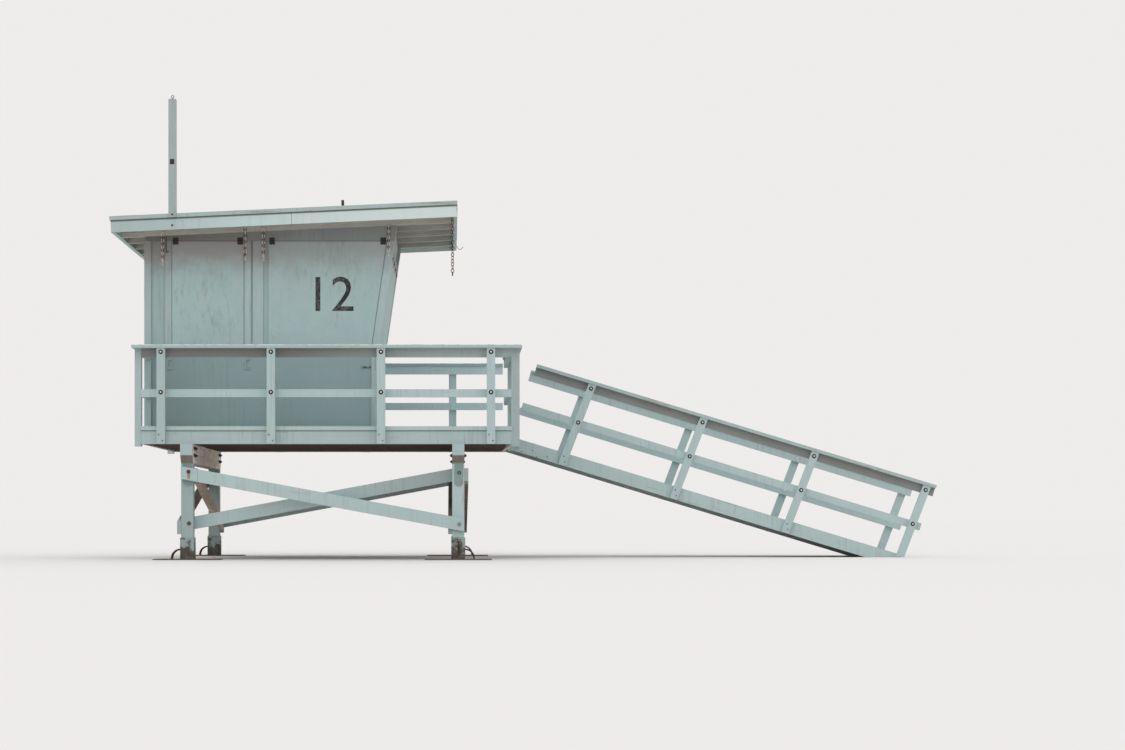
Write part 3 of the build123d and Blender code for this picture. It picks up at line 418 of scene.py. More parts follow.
def bare_timber(name, grain, base, wear_tone=1.0, paint_share=0.0, details=()):
    """Material of unpainted weathered timber, with a few remains of paint."""
    finish = Finish(name)
    space = board_space(finish, grain)
    fibre = finish.noise(space, 190.0, 3.0)
    figure = finish.noise(space, 30.0, 5.0, 0.65, 0.6)
    cloud = finish.noise(finish.place, 2.4, 4.0, 0.6)
    level = (fibre * 0.55 + figure * 0.75 + cloud * 0.5) * wear_tone + 0.10
    crack = finish.step(figure * 0.6 + fibre * 0.4, 0.60, 0.66)
    colour = finish.film(crack * 0.6, finish.shade(linear(*base), level), "grime")
    if paint_share:
        rest = finish.noise(finish.place, 7.0, 6.0, 0.7) * 0.7 + figure * 0.3
        kept = finish.step(rest, 0.62 - 0.2 * paint_share, 0.66 - 0.2 * paint_share)
        colour = finish.film(kept * 0.85, colour, "paint")
    for detail in details:
        colour = detail(finish, colour)
    return finish.close(colour, cloud * 0.1 + 0.78, fibre * 0.5 + figure * 0.5 - crack, 0.55)


def deck_timber(name, grain, pitch, turn=None):
    """Walked-on boards: worn paint on top, painted shade on dark timber below, a tone per board."""
    finish = Finish(name)
    along = finish.split(finish.turned(turn), 0) if turn else finish.x
    index = (along / pitch).floor()
    tone = finish.node("TexWhiteNoise", {"noise_dimensions": "1D"}, {"W": index}, "Value")
    colour, roughness, relief = timber_coat(finish, board_space(finish, grain), 1.0, 0.45)
    feet = finish.step(finish.noise(finish.place, 2.0, 4.0), 0.42, 0.62)
    trodden = finish.shade(chosen("bare_wood"), relief * 0.5 + 0.7)
    colour = finish.blend(feet * 0.55 * finish.looking(1), colour, trodden)
    colour = finish.shade(colour, tone * 0.30 + 0.80)
    # Painted shade: dark timber on faces that look down
    below = finish.shade(chosen("dark_timber_and_shade"), relief * 0.5 + tone * 0.3 + 0.8)
    colour = finish.blend(finish.looking(-1) * 0.9, colour, below)
    return finish.close(colour, roughness + 0.06, relief, 0.5)


def steel(name, dark, pale, rough, grain=60.0, rust_share=0.3, metallic=0.0):
    """Fittings in painted or bare steel, with rust breaking through."""
    finish = Finish(name)
    speck = finish.noise(finish.place, grain, 5.0, 0.65)
    cloud = finish.noise(finish.place, grain * 0.15, 3.0)
    colour = finish.blend(cloud, linear(*dark), linear(*pale))
    score = speck * 0.6 + cloud * 0.4
    rusted = finish.step(score, 0.64 - 0.25 * rust_share, 0.70 - 0.20 * rust_share)
    colour = finish.film(rusted * 0.85, colour, "rust")
    roughness = rusted * 0.3 + speck * 0.15 + rough
    return finish.close(colour, roughness, speck, 0.3, 0.001, metallic * (1 - rusted))


def boot_timber():
    """Battered foot boxes: dark soaked timber with grey patches and paint on the upper part."""
    finish = Finish("boot timber")
    space = board_space(finish, "upright")
    figure = finish.noise(space, 40.0, 5.0, 0.65)
    patch = finish.noise(finish.place, 11.0, 6.0, 0.7)
    fibre = finish.noise(space, 160.0, 2.0)
    soaked = finish.film(finish.step(patch, 0.42, 0.62), chosen("dark_timber_and_shade"), "boot_film")
    colour = finish.shade(soaked, fibre * 0.6 + figure * 0.5 + 0.32)
    rise = finish.step(finish.z, 0.02, 0.28)
    kept = finish.step(patch * 0.6 + figure * 0.25 + rise * 0.15, 0.50, 0.56)
    colour = finish.blend(kept * 0.8, colour, finish.shade(chosen("paint"), figure * 0.5 + 0.50))
    return finish.close(colour, patch * 0.15 + 0.75, patch * 0.6 + fibre * 0.3, 0.6)


def roofing():
    """Mineral felt: fine granules, cloudy weathering and lap joints."""
    finish = Finish("roof felt")
    grit = finish.noise(finish.place, 420.0, 2.0, 0.7)
    cloud = finish.noise(finish.place, 1.4, 5.0, 0.6)
    sheet = 0.92
    lap = (finish.y + 3.0) % sheet
    seam = 1 - finish.step(abs(lap - sheet / 2), 0.004, 0.012)
    colour = finish.blend(cloud, linear(118, 121, 120), linear(152, 154, 150))
    colour = finish.film(seam * 0.5, finish.shade(colour, grit * 0.5 + 0.72), "grime")
    return finish.close(colour, grit * 0.1 + 0.82, grit * 0.6 + cloud * 0.2 + lap * 0.5, 0.6)


def window_pane():
    """Old window glass, dusty along its height, over a dark room."""
    finish = Finish("window glass")
    dust = finish.noise(finish.place, 3.0, 6.0, 0.7)
    run = finish.noise(streak_space(finish), 40.0, 3.0)
    film = finish.step(dust * 0.6 + run * 0.4, 0.42, 0.68)
    glass = {
        "Base Color": finish.blend(film * 0.5, linear(188, 205, 202), linear(150, 152, 146)),
        "Roughness": film * 0.25 + 0.03, "IOR": 1.48, "Transmission Weight": 0.85,
    }
    finish.end("Material", finish.node("BsdfPrincipled", {}, glass))
    return finish.material


def beam_coat():
    """Cap beams: weathered grey-white sides, painted end grain and a bevel in painted shade."""
    finish = Finish("beam timber")
    space = board_space(finish, "across")
    fibre = finish.noise(space, 150.0, 3.0)
    figure = finish.noise(space, 26.0, 5.0, 0.65, 0.5)
    patch = finish.noise(finish.stretched(finish.place, (1.0, 0.4, 1.0)), 9.0, 5.0, 0.68)
    grey = finish.shade(linear(228, 214, 200), fibre * 0.5 + figure * 0.6 + 0.50)
    pale = finish.shade(linear(246, 240, 232), figure * 0.3 + 0.90)
    colour = finish.blend(finish.step(patch * 0.6 + figure * 0.4, 0.46, 0.56), grey, pale)
    outward = abs(finish.y)
    face = finish.step(outward, leg_high.y + 0.1085, leg_high.y + 0.1095)
    # Painted shade: the bevel faces down and is made darker
    bevel = finish.step(outward, leg_high.y + 0.01, leg_high.y + 0.02) * (1 - face)
    end_paint = finish.shade(chosen("paint"), patch * 0.3 + 0.76)
    colour = finish.blend(face, finish.shade(colour, 1 - bevel * 0.42), end_paint)
    # Painted shade on faces that look down
    colour = finish.film(finish.looking(-1) * 0.8, colour, "dark_timber_and_shade")
    return finish.close(colour, figure * 0.1 + 0.72, fibre * 0.5 + figure * 0.6, 0.5)


def stencil_coat():
    """Paint of the tower's number, worn through to the panel in small spots."""
    finish = Finish("stencil paint")
    worn = finish.noise(finish.place, 60.0, 6.0, 0.7)
    cloud = finish.noise(finish.place, 6.0, 3.0)
    share = finish.step(worn * 0.7 + cloud * 0.3, 0.50, 0.60)
    colour = finish.film(share * 0.22, chosen("stencil"), "chalky")
    return finish.close(colour, worn * 0.1 + 0.62, worn, 0.2, 0.0005)


# Details, each of which changes a coat's colour where it applies


def dark_line(x, half_width=0.0018, where=None):
    """A butt joint square across boards that run along the tower."""
    def draw(finish, colour):
        line = abs(finish.x - x) < half_width
        if where:
            line = line * where(finish)
        return finish.film(line * 0.85, colour, "grime")

    return draw


def lower_shade(edge, reach, colour_name, strength):
    """A darker surface below a height, with a ragged edge."""
    def draw(finish, colour):
        ragged = finish.noise(streak_space(finish), 9.0, 4.0)
        mask = 1 - finish.step(finish.z + (ragged - 0.5) * reach, edge - reach, edge)
        return finish.film(mask * strength, colour, colour_name)

    return draw


def rear_shade(strength):
    """Darker, in the grime colour, towards the rear end of the tower."""
    def draw(finish, colour):
        mask = 1 - finish.step(finish.x, *REAR_SHADE_XS)
        return finish.film(mask * strength, colour, "grime")

    return draw


def under_shade(strength):
    """Dark bare timber and painted shade on faces that look down."""
    def draw(finish, colour):
        fibre = finish.noise(finish.stretched(finish.place, (0.05, 1.0, 1.0)), 120.0, 3.0)
        timber = finish.shade(chosen("dark_timber_and_shade"), fibre * 0.9 + 0.55)
        return finish.blend(finish.looking(-1) * strength, colour, timber)

    return draw


def rust_run(finish, colour):
    """Rust running down from the high bolt at the rear legs."""
    width, length = 0.024, 0.12
    wobble = finish.noise(streak_space(finish), 60.0, 2.0)
    side = 1 - finish.step(abs(finish.x - REAR_BRACE_BOLT_X), width * 0.3, width)
    low, high = HIGH_BRACE_BOLT_Z - length, HIGH_BRACE_BOLT_Z - length * 0.55
    fall = finish.step(finish.z, low, high) * ((HIGH_BRACE_BOLT_Z - finish.z) > -0.012)
    run = side * fall * finish.step(wobble, 0.25, 0.45)
    return finish.film(run * 0.95, colour, "rust")


def eave_grey(finish, colour):
    """Grey laid over the walls below the eaves, less of it towards the front."""
    ragged = finish.noise(finish.place, 5.0, 5.0, 0.65)
    mask = finish.step(finish.z + (ragged - 0.5) * 0.5, *EAVE_GREY_ZS)
    depth = 0.90 - finish.step(finish.x, *EAVE_GREY_XS) * 0.40
    return finish.film(mask * depth, colour, "lilac_grey")


def frieze_painted_shade(finish, colour):
    """Painted shade: an even darkening in the grime colour on the frieze below the eaves."""
    cloud = finish.noise(finish.place, 2.2, 4.0)
    return finish.film(cloud * 0.3 + 0.26, colour, "grime")


def drip_shadow(finish, colour):
    """Painted shadow in the corner below the drip edge."""
    edge = (finish.x - roof_low.x) * math.tan(roof_angle) + roof_low.z
    mask = 1 - finish.step(edge - finish.z, 0.014, 0.030)
    return finish.film(mask * 0.9, colour, "grime")


def nosing_shadow(finish, colour):
    """Painted shadow in the corner below the nosing strip."""
    mask = finish.step(finish.z, rim_high.z - 0.020, rim_high.z - 0.004)
    return finish.film(mask * 0.8, colour, "grime")


def chips(finish, colour):
    """Paint chipped down to dark timber in small spots."""
    spots = finish.noise(finish.stretched(finish.place, (0.35, 1.0, 1.0)), 16.0, 5.0, 0.75)
    return finish.film(finish.step(spots, 0.66, 0.69) * 0.85, colour, "dark_timber_and_shade")


def painted_inner_light(finish, colour):
    """Painted light: paler paint on the inner faces of the far railing, which lie in shade."""
    inner_y, outer_y = FAR_RAILING_YS
    mask = (finish.y > inner_y) * (finish.y < outer_y)
    return finish.shade(colour, mask * 0.30 + 1.0)


def front_corner_painted_shade(finish, colour):
    """Painted shade: greyer paint on the front corner post of the deck."""
    mask = (finish.x > deck_x1 + 0.01) * (finish.x < deck_x1 + 0.15)
    return finish.film(mask * 0.22, colour, "grime")


def painted_underside_light(finish, colour):
    """Painted light: pale colour on faces that look down, lit from the sand below."""
    return finish.film(finish.looking(-1) * 0.85, colour, "rafter_underside_light")


def cap_shade(finish, colour):
    """Painted cap shadow with some film on the near top boards, deepest towards the rear."""
    broad = finish.noise(finish.place, 1.3, 3.0)
    mask = finish.step(finish.z, *CAP_SHADE_ZS) * (finish.y < CAP_SHADE_Y)
    depth = 0.72 - finish.step(finish.x, *CAP_SHADE_XS) * 0.66 + broad * 0.3
    return finish.film(mask * depth, colour, "cap_shadow_and_film")


def ramp_cap_shade(finish, colour):
    """The same painted cap shadow and film along the near top board of the ramp."""
    square = finish.x * RAMP_SQUARE.x + finish.z * RAMP_SQUARE.z - RAMP_HEAD.dot(RAMP_SQUARE)
    broad = finish.noise(finish.place, 1.1, 3.0)
    mask = finish.step(square, *RAMP_CAP_SHADE_NS) * (finish.y < RAMP_CAP_SHADE_Y)
    return finish.film(mask * (broad * 0.3 + 0.62), colour, "cap_shadow_and_film")


def pale_rim(finish, colour):
    """A rubbed pale line along the upper edges of the level caps."""
    band = 0.014
    worn = finish.noise(finish.stretched(finish.place, (0.3, 1.0, 1.0)), 40.0, 4.0)
    edge = finish.step(finish.z, cap_top - band, cap_top - band * 0.4)
    return finish.film(edge * finish.step(worn, 0.35, 0.55) * 0.75, colour, "rubbed")


def front_paling(finish, colour):
    """Paint made paler towards the front of the tower."""
    cloud = finish.noise(finish.place, 1.5, 4.0)
    mask = finish.step(finish.x + cloud * 0.8, *FRONT_PALING_XS)
    return finish.film(mask * 0.62, colour, "rubbed")


def brace_light_and_shade(finish, colour):
    """Painted light on the lit cross brace, painted shade on the rest, and painted ends."""
    ahead_of_rear_legs = finish.step(finish.x, LEG_XS[0] + 0.04, LEG_XS[0] + 0.05)
    behind_front_legs = 1.0 - finish.step(finish.x, LEG_XS[1] - 0.5, LEG_XS[1] - 0.4)
    # Painted light and shade: paler on the lit brace between the legs, darker elsewhere
    colour = finish.shade(colour, ahead_of_rear_legs * behind_front_legs * 1.25 + 0.68)
    painted_ends = finish.step(abs(finish.y), LEG_Y - 0.13, LEG_Y - 0.12)
    return finish.blend(painted_ends * 0.85, colour, finish.shade(chosen("paint"), 0.82))


def inner_brace_grey(finish, colour):
    """Greyer colour on the inner long brace where it climbs to the front leg."""
    inner = 1.0 - finish.step(abs(finish.y), LEG_Y - 0.078, LEG_Y - 0.074)
    climb = finish.step(finish.x, -2.9, LEG_XS[1] - 0.2)
    return finish.blend(inner * climb * 0.8, colour, linear(118, 119, 117))


def paint_materials():
    """Every finish of the tower, by name."""
    near_brace = dark_line(-4.280, where=lambda finish: finish.y < -LEG_Y)
    fascia_joint, stringer_joint = dark_line(-3.105, 0.003), dark_line(0.324)
    foot_dirt = lower_shade(0.30, 0.10, "grime", 0.5)
    low_wall = lower_shade(2.668, 0.012, "wall_grey", 0.50)
    # Name, grain, wear, grime, tone and details
    painted = {
        "along": ("board paint along", "along"),
        "cap_along": ("cap paint along", "along", 0.62, 0.30, 0.86, (pale_rim,)),
        "rails": ("rail paint", "along", 0.36, 0.30, 1.02, (cap_shade, painted_inner_light)),
        "across": ("board paint across", "across"),
        "upright": (
            "board paint upright", "upright", 0.34, 0.30, 0.98,
            (rear_shade(0.10), front_corner_painted_shade, painted_inner_light),
        ),
        "trim": ("trim paint", "upright", 0.34, 0.42, 0.96, (eave_grey, rear_shade(0.12))),
        "legs": ("leg paint", "upright", 0.5, 0.35, 1.0, (rust_run, foot_dirt, rear_shade(0.46))),
        "braces": (
            "brace paint", "brace", 0.42, 0.35, 1.0,
            (near_brace, inner_brace_grey, rust_run, under_shade(0.75)),
        ),
        "rim": ("rim paint", "along", 0.42, 0.5, 0.90, (nosing_shadow, under_shade(0.8))),
        "rim_across": ("end rim paint", "across", 0.42, 0.5, 1.0, (under_shade(0.8),)),
        "frieze": (
            "frieze paint", "along", 0.5, 0.6, 0.9, (eave_grey, frieze_painted_shade, rear_shade(0.5)),
        ),
        "fascia": (
            "fascia paint", "roof", 0.30, 0.26, 1.04,
            (front_paling, rear_shade(0.14), fascia_joint, drip_shadow, under_shade(0.5)),
        ),
        "fascia_across": ("end fascia paint", "across", 0.34, 0.4),
        "drip": ("drip edge paint", "roof", 0.75, 0.35, 0.80, (chips,)),
        "mast": ("mast paint", "upright", 0.5, 0.40, 0.82, (rear_shade(0.16),)),
        "ramp_along": ("ramp paint", "ramp", 0.42, 0.32, 1.0, (stringer_joint, ramp_cap_shade)),
        "ramp_upright": ("ramp post paint", "ramp_upright", 0.36, 0.3),
        "ramp_cap": ("ramp cap paint", "ramp", 0.7, 0.4, 0.84),
    }
    # Name, grain, colour, tone, share of paint left and details
    bare = {
        "rafter": ("rafter timber", "roof", (188, 187, 184), 0.9, 0.05, (painted_underside_light,)),
        "cross": ("cross brace timber", "across", (142, 130, 118), 1.0, 0.2, (brace_light_and_shade,)),
        "joist": ("joist timber", "along", (94, 82, 72)),
        "roof_boards": ("roof board timber", "across", (194, 192, 188), 0.9, 0.05),
        "ledger": ("ledger timber", "ramp", (104, 94, 84)),
    }
    # Name, darker and paler colour, roughness, grain, share of rust and metallic share
    steels = {
        "black_steel": ("black steel", (26, 26, 28), (44, 44, 46), 0.55),
        "rusty_steel": ("rusty steel", (58, 44, 38), (82, 62, 52), 0.7, 45.0, 0.6),
        "galvanised": ("galvanised steel", (206, 206, 202), (228, 228, 222), 0.45, 60.0, -0.3),
        "tan_tie": ("tan tie", (176, 158, 132), (196, 180, 154), 0.8),
        "chain": ("chain steel", (206, 198, 186), (232, 226, 214), 0.5, 90.0, 0.1),
        "painted_steel": ("painted steel", (128, 150, 149), (160, 178, 176), 0.5, 60.0, 0.3, 0.1),
        "leg_plate": ("leg plate paint", (112, 136, 136), (136, 160, 158), 0.6),
        "base_plate": ("base plate", (74, 68, 64), (112, 104, 96), 0.8, 22.0, 0.4),
    }
    finishes = {
        "beam": beam_coat(),
        "boot": boot_timber(),
        "deck": deck_timber("deck timber", "across", 0.1453),
        "ramp_deck": deck_timber("ramp deck timber", "across", 0.1458, RAMPED),
        "panel": panel_coat("panel paint", details=(low_wall, eave_grey, rear_shade(0.18))),
        "shutter": panel_coat("shutter paint", 0.2, 0.35, 0.95, 0.30, (eave_grey,)),
        "door": panel_coat("door paint", 0.35, 0.3),
        "felt": roofing(),
        "glass": window_pane(),
        "stencil": stencil_coat(),
    }
    for maker, table in ((painted_timber, painted), (bare_timber, bare), (steel, steels)):
        finishes.update({key: maker(*values) for key, values in table.items()})
    return finishes


FINISHED_NODES = {
    "legs": "legs", "boot": "leg_boots", "base_plate": "base_plates", "rusty_steel": "tow_loops",
    "beam": "cap_beams", "braces": "long_braces", "cross": "cross_braces", "rim": "side_rims",
    "rim_across": "end_rims", "joist": "deck_joists", "deck": "deck_boards",
    "along": "nosing_strips", "upright": "rail_posts", "rails": "side_rails",
    "across": "end_rails end_caps", "cap_along": "side_caps", "glass": "window_glass",
    "panel": "near_wall far_wall rear_wall front_lower_wall front_upper_wall", "door": "door",
    "trim": "wall_trim", "frieze": "header_boards",
    "shutter": "near_rear_shutter near_front_shutter far_shutter front_shutter",
    "black_steel": "near_rear_straps near_front_straps front_straps hinge_leaves roof_fittings",
    "painted_steel": "shutter_latches ramp_brackets", "rafter": "rafters",
    "fascia": "side_fascias", "fascia_across": "end_fascias", "drip": "drip_edges",
    "roof_boards": "roof_boards", "felt": "roof_felt", "mast": "mast",
    "ramp_along": "ramp_stringers ramp_rails", "ramp_deck": "ramp_boards ramp_battens",
    "ledger": "ramp_ledgers", "ramp_upright": "ramp_posts", "ramp_cap": "ramp_caps",
}

made_finishes = {}


# Mesh helpers


def facing(point, axis):
    """Place a shape built along Z so that it stands on a point and looks along an axis."""
    return Matrix.Translation(point) @ axis.to_track_quat("Z", "Y").to_matrix().to_4x4()


def stub(bm, radius, height, sides, edge, base):
    """Add a short upright cylinder, with its upper rim rounded unless the edge is 0."""
    made = bmesh.ops.create_cone(
        bm, cap_ends=True, segments=sides, radius1=radius, radius2=radius, depth=height,
        matrix=Matrix.Translation((0, 0, base + height / 2)),
    )
    if edge:
        top = base + height - 1e-6
        rim = {e for v in made["verts"] for e in v.link_edges}
        rim = [e for e in rim if all(v.co.z > top for v in e.verts)]
        bmesh.ops.bevel(
            bm, geom=rim, offset=edge, segments=2, profile=0.5, affect="EDGES", material=-1
        )


def stacked(*stubs, base=0.0):
    """Maker of a fitting of stubs on one another: radius, height, sides and rounding of each."""
    def build(bm):
        level = base
        for radius, height, sides, edge in stubs:
            stub(bm, radius, height, sides, edge, level)
            level += height

    return build


def block(bm, low, high, edge, shear=None):
    """Add a box between two corners, leaned by a shear, with its edges rounded."""
    low, high = Vector(low), Vector(high)
    at = Matrix.Translation((low + high) / 2) @ Matrix.Diagonal((*(high - low), 1.0))
    made = bmesh.ops.create_cube(bm, size=1.0, matrix=at)
    if shear:
        bmesh.ops.transform(bm, matrix=shear, verts=made["verts"])
    edges = list({e for v in made["verts"] for e in v.link_edges})
    bmesh.ops.bevel(
        bm, geom=edges, offset=edge, segments=1, profile=0.5, affect="EDGES", material=-1
    )


def add_curve(bm, curve, smooth=False):
    """Add the mesh of a curve or a text, and leave nothing else of it behind."""
    shape = bpy.data.objects.new(curve.name, curve)
    mesh = bpy.data.meshes.new_from_object(shape)
    if smooth:
        mesh.shade_smooth()
    bm.from_mesh(mesh)
    bpy.data.objects.remove(shape)
    bpy.data.curves.remove(curve)
    bpy.data.meshes.remove(mesh)


def wire(bm, points, thickness, closed=False):
    """Add round wire bent along a list of points."""
    line = bpy.data.curves.new("wire", "CURVE")
    line.dimensions = "3D"
    line.bevel_depth = thickness / 2
    line.bevel_resolution = 1
    line.use_fill_caps = not closed
    run = line.splines.new("POLY")
    run.points.add(len(points) - 1)
    for spot, point in zip(run.points, points):
        spot.co = (*point, 1.0)
    run.use_cyclic_u = closed
    add_curve(bm, line, smooth=True)


def arc(centre, radius, start, end, steps):
    """Points of an arc in the XZ plane, from one angle in degrees to another."""
    angles = [math.radians(angle) for angle in spread(start, end, steps + 1)]
    return [Vector(centre) + Vector((math.cos(a), 0, math.sin(a))) * radius for a in angles]


def oblong(half_straight, radius, steps):
    """Points of an upright oblong with round ends, in the XZ plane."""
    upper = arc((0, 0, half_straight), radius, 0, 180, steps)
    return upper + arc((0, 0, -half_straight), radius, 180, 360, steps)


def chain_places(top, drop, length, thickness):
    """Places of a hanging chain's links, each turned against the one above."""
    pitch = length - 2 * thickness
    places = []
    for i in range(max(round(drop / pitch), 1)):
        turn = Matrix.Rotation(math.radians(LINK_TURN * i + FIRST_LINK_TURN), 4, "Z")
        places.append(Matrix.Translation(top + DOWN * (length / 2 + i * pitch)) @ turn)
    return places


def leaning(angle, level):
    """Shear that leaves a height in place and leans what stands above it forwards."""
    shear = Matrix.Identity(4)
    shear[0][2] = math.tan(angle)
    shear[0][3] = -math.tan(angle) * level
    return shear


def mesh_of(bm, name):
    """A mesh of what was built, with the builder freed."""
    mesh = bpy.data.meshes.new(name)
    bm.to_mesh(mesh)
    bm.free()
    return mesh


def placed(name, data):
    """A new object in the scene."""
    made = bpy.data.objects.new(name, data)
    bpy.context.scene.collection.objects.link(made)
    return made


def set_piece(bm, name, finish, body="tower"):
    """Turn what was built into a piece that rides on a body."""
    mesh = mesh_of(bm, name)
    mesh.materials.append(made_finishes[finish])
    piece = placed(name, mesh)
    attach(piece, body)


def repeated_piece(name, build, places, finish):
    """A piece that holds one shape in many places."""
    loose = bmesh.new()
    build(loose)
    bmesh.ops.recalc_face_normals(loose, faces=loose.faces[:])
    shape = mesh_of(loose, "template")
    bm = bmesh.new()
    for place in places:
        first = len(bm.verts)
        bm.from_mesh(shape)
        bm.verts.ensure_lookup_table()
        bmesh.ops.transform(bm, matrix=place, verts=bm.verts[first:])
    set_piece(bm, name, finish)


def block_piece(name, blocks, edge, finish):
    """A piece of blocks, each given by two corners and perhaps its lean."""
    bm = bmesh.new()
    for low, high, *shear in blocks:
        block(bm, low, high, edge, *shear)
    set_piece(bm, name, finish)


def wire_piece(name, points, thickness, finish):
    """A piece of one bent wire."""
    bm = bmesh.new()
    wire(bm, points, thickness)
    set_piece(bm, name, finish)


# Places of the fastenings


def both_faces(x, y, z):
    """A place on the near side and its mirror on the far side, both looking outwards."""
    return [facing(Vector((x, -y, z)), NEAR), facing(Vector((x, y, z)), FAR)]


def ramp_point(u, n, y):
    """Point of the ramp: down its slope, square to it, and across."""
    return RAMP_HEAD + RAMP_ALONG * u + RAMP_SQUARE * n + Vector((0, y, 0))


def ramp_faces(u, n, inset=0.0, shift=0.0):
    """A place on the ramp's near and far side, both looking outwards."""
    near = facing(ramp_point(u, n, RAMP_NEAR_Y + inset), NEAR)
    return [near, facing(ramp_point(u + shift, n, side_face_y - inset), FAR)]


def deck_post_faces():
    """Middle of each deck post's outer face at ground level, with the way it looks."""
    faces = [(Vector((x, -side_face_y, 0)), NEAR) for x in NEAR_POST_XS]
    return faces + [(Vector((x, side_face_y, 0)), FAR) for x in FAR_POST_XS]


def ramp_post_spots():
    """Height above the ramp, with the way along it, of each ramp post's two big bolts."""
    top = RAMP_BOLT_NS[0]
    return [(u + (n - top) * RAMP_POST_LEAN, n) for u in RAMP_POST_US for n in RAMP_BOLT_NS]


def big_bolt_places():
    """Where a through-bolt with its broad washer shows on a post."""
    places = []
    for point, axis in deck_post_faces():
        places += [facing(point + UP * z, axis) for z in RAIL_BOLT_ZS]
    for u, n in ramp_post_spots():
        places += ramp_faces(u, n, shift=RAMP_FAR_SHIFT)
    return places


def bolt_head_places():
    """Where the heads of the same bolts show on the inner faces of the boards."""
    inner_y, ramp_inset = rail_outer_y - PLANK, 2 * PLANK
    places = []
    for post_xs, y, axis in ((NEAR_POST_XS, -inner_y, FAR), (FAR_POST_XS, inner_y, NEAR)):
        places += [facing(Vector((x, y, z)), axis) for x in post_xs for z in RAIL_BOLT_ZS]
    for u, n in ramp_post_spots():
        places.append(facing(ramp_point(u, n, RAMP_NEAR_Y + ramp_inset), FAR))
        places.append(facing(ramp_point(u + RAMP_FAR_SHIFT, n, side_face_y - ramp_inset), NEAR))
    return places


def small_bolt_places():
    """Where small coach screws show at the feet of the posts, above the ground."""
    places = []
    for point, axis in deck_post_faces():
        places += [facing(point + Vector((x, 0, z)), axis) for x, z in POST_SCREW_XZS]
    for u in RAMP_POST_US:
        for n, across in RAMP_POST_SCREWS:
            lean = (n - RAMP_BOLT_NS[0]) * RAMP_POST_LEAN + across
            places += ramp_faces(u + lean, n, shift=RAMP_FAR_SHIFT)
    places = [place for place in places if place.translation.z > LOWEST_SCREW_Z]
    for u, n in STRINGER_SCREWS:
        places += ramp_faces(u, n, inset=PLANK)
    return places


def deck_screw_places():
    """Where the deck and ramp boards are screwed down."""
    places = []
    for i in range(DECK_BOARDS):
        for across in DECK_SCREW_XS:
            x = deck_x0 + i * BOARD_PITCH + across
            places += [facing(Vector((x, y, floor_z)), UP) for y in DECK_SCREW_YS]
    for i in range(RAMP_BOARDS):
        for across in RAMP_BOARD_SCREW_US:
            u = i * RAMP_BOARD_PITCH + across
            for y in RAMP_BOARD_SCREW_YS:
                places.append(facing(ramp_point(u, RAMP_BOARD_TOP, y), RAMP_SQUARE))
    return places


def brace_bolt_places():
    """Where bolts go through the ends of the long braces and the legs."""
    places = []
    for side, axis in ((-1, NEAR), (1, FAR)):
        for x, high in ((REAR_BRACE_BOLT_X, side < 0), (FRONT_BRACE_BOLT_X, side > 0)):
            on_brace = HIGH_BRACE_BOLT_Z if high else LOW_BRACE_BOLT_Z
            on_leg = LOW_LEG_BOLT_Z if high else HIGH_LEG_BOLT_Z
            for y, z in ((brace_face_y, on_brace), (leg_high.y, on_leg)):
                places.append(facing(Vector((x, side * y, z)), axis))
    return places


def beam_bolt_places():
    """Where bolts come out of the cap beams, behind too at the front legs."""
    places = []
    for x, ways in ((LEG_XS[0], (AHEAD,)), (LEG_XS[1], (AHEAD, BEHIND))):
        for y in BEAM_BOLT_YS:
            for z in BEAM_BOLT_ZS:
                places += [facing(Vector((x, y, z)) + way * HALF_LEG, way) for way in ways]
    return places


# Operators


class TowerOperator:
    """What the tower's operators share."""

    bl_options = {"REGISTER", "UNDO"}


class TOWER_OT_paint(TowerOperator, bpy.types.Operator):
    """Give every timber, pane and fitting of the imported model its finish"""

    bl_idname = "tower.paint"
    bl_label = "Paint the Timber"

    def execute(self, context):
        made_finishes.update(paint_materials())
        for finish, nodes in FINISHED_NODES.items():
            for node in nodes.split():
                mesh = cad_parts[node].data
                mesh.materials.clear()
                mesh.materials.append(made_finishes[finish])
        return {"FINISHED"}


class TOWER_OT_post_bolts(TowerOperator, bpy.types.Operator):
    """Add the broad washers, nuts and coach screws of the railing posts"""

    bl_idname = "tower.post_bolts"
    bl_label = "Post Bolts"

    def execute(self, context):
        sizes = context.scene.tower_fastenings
        radius, nut, screw = sizes.washer_width / 2, sizes.nut_width / 2, sizes.screw_width / 2
        washer = stacked((radius, 0.004, 20, 0.001), (radius * 0.66, 0.004, 16, 0.002))
        nut_and_end = stacked((nut, 0.009, 6, 0.0012), (nut * 0.55, 0.006, 8, 0.001), base=0.008)
        bolt_head = stacked((nut * 0.8, 0.006, 12, 0.004))
        coach_screw = stacked((screw, 0.006, 10, 0.002))
        deck_screw = stacked((0.005, 0.001, 8, 0.0))
        places = big_bolt_places()
        repeated_piece("post_washers", washer, places, "black_steel")
        repeated_piece("post_nuts", nut_and_end, places, "galvanised")
        repeated_piece("post_bolt_heads", bolt_head, bolt_head_places(), "galvanised")
        repeated_piece("coach_screws", coach_screw, small_bolt_places(), "black_steel")
        repeated_piece("deck_screws", deck_screw, deck_screw_places(), "galvanised")
        return {"FINISHED"}


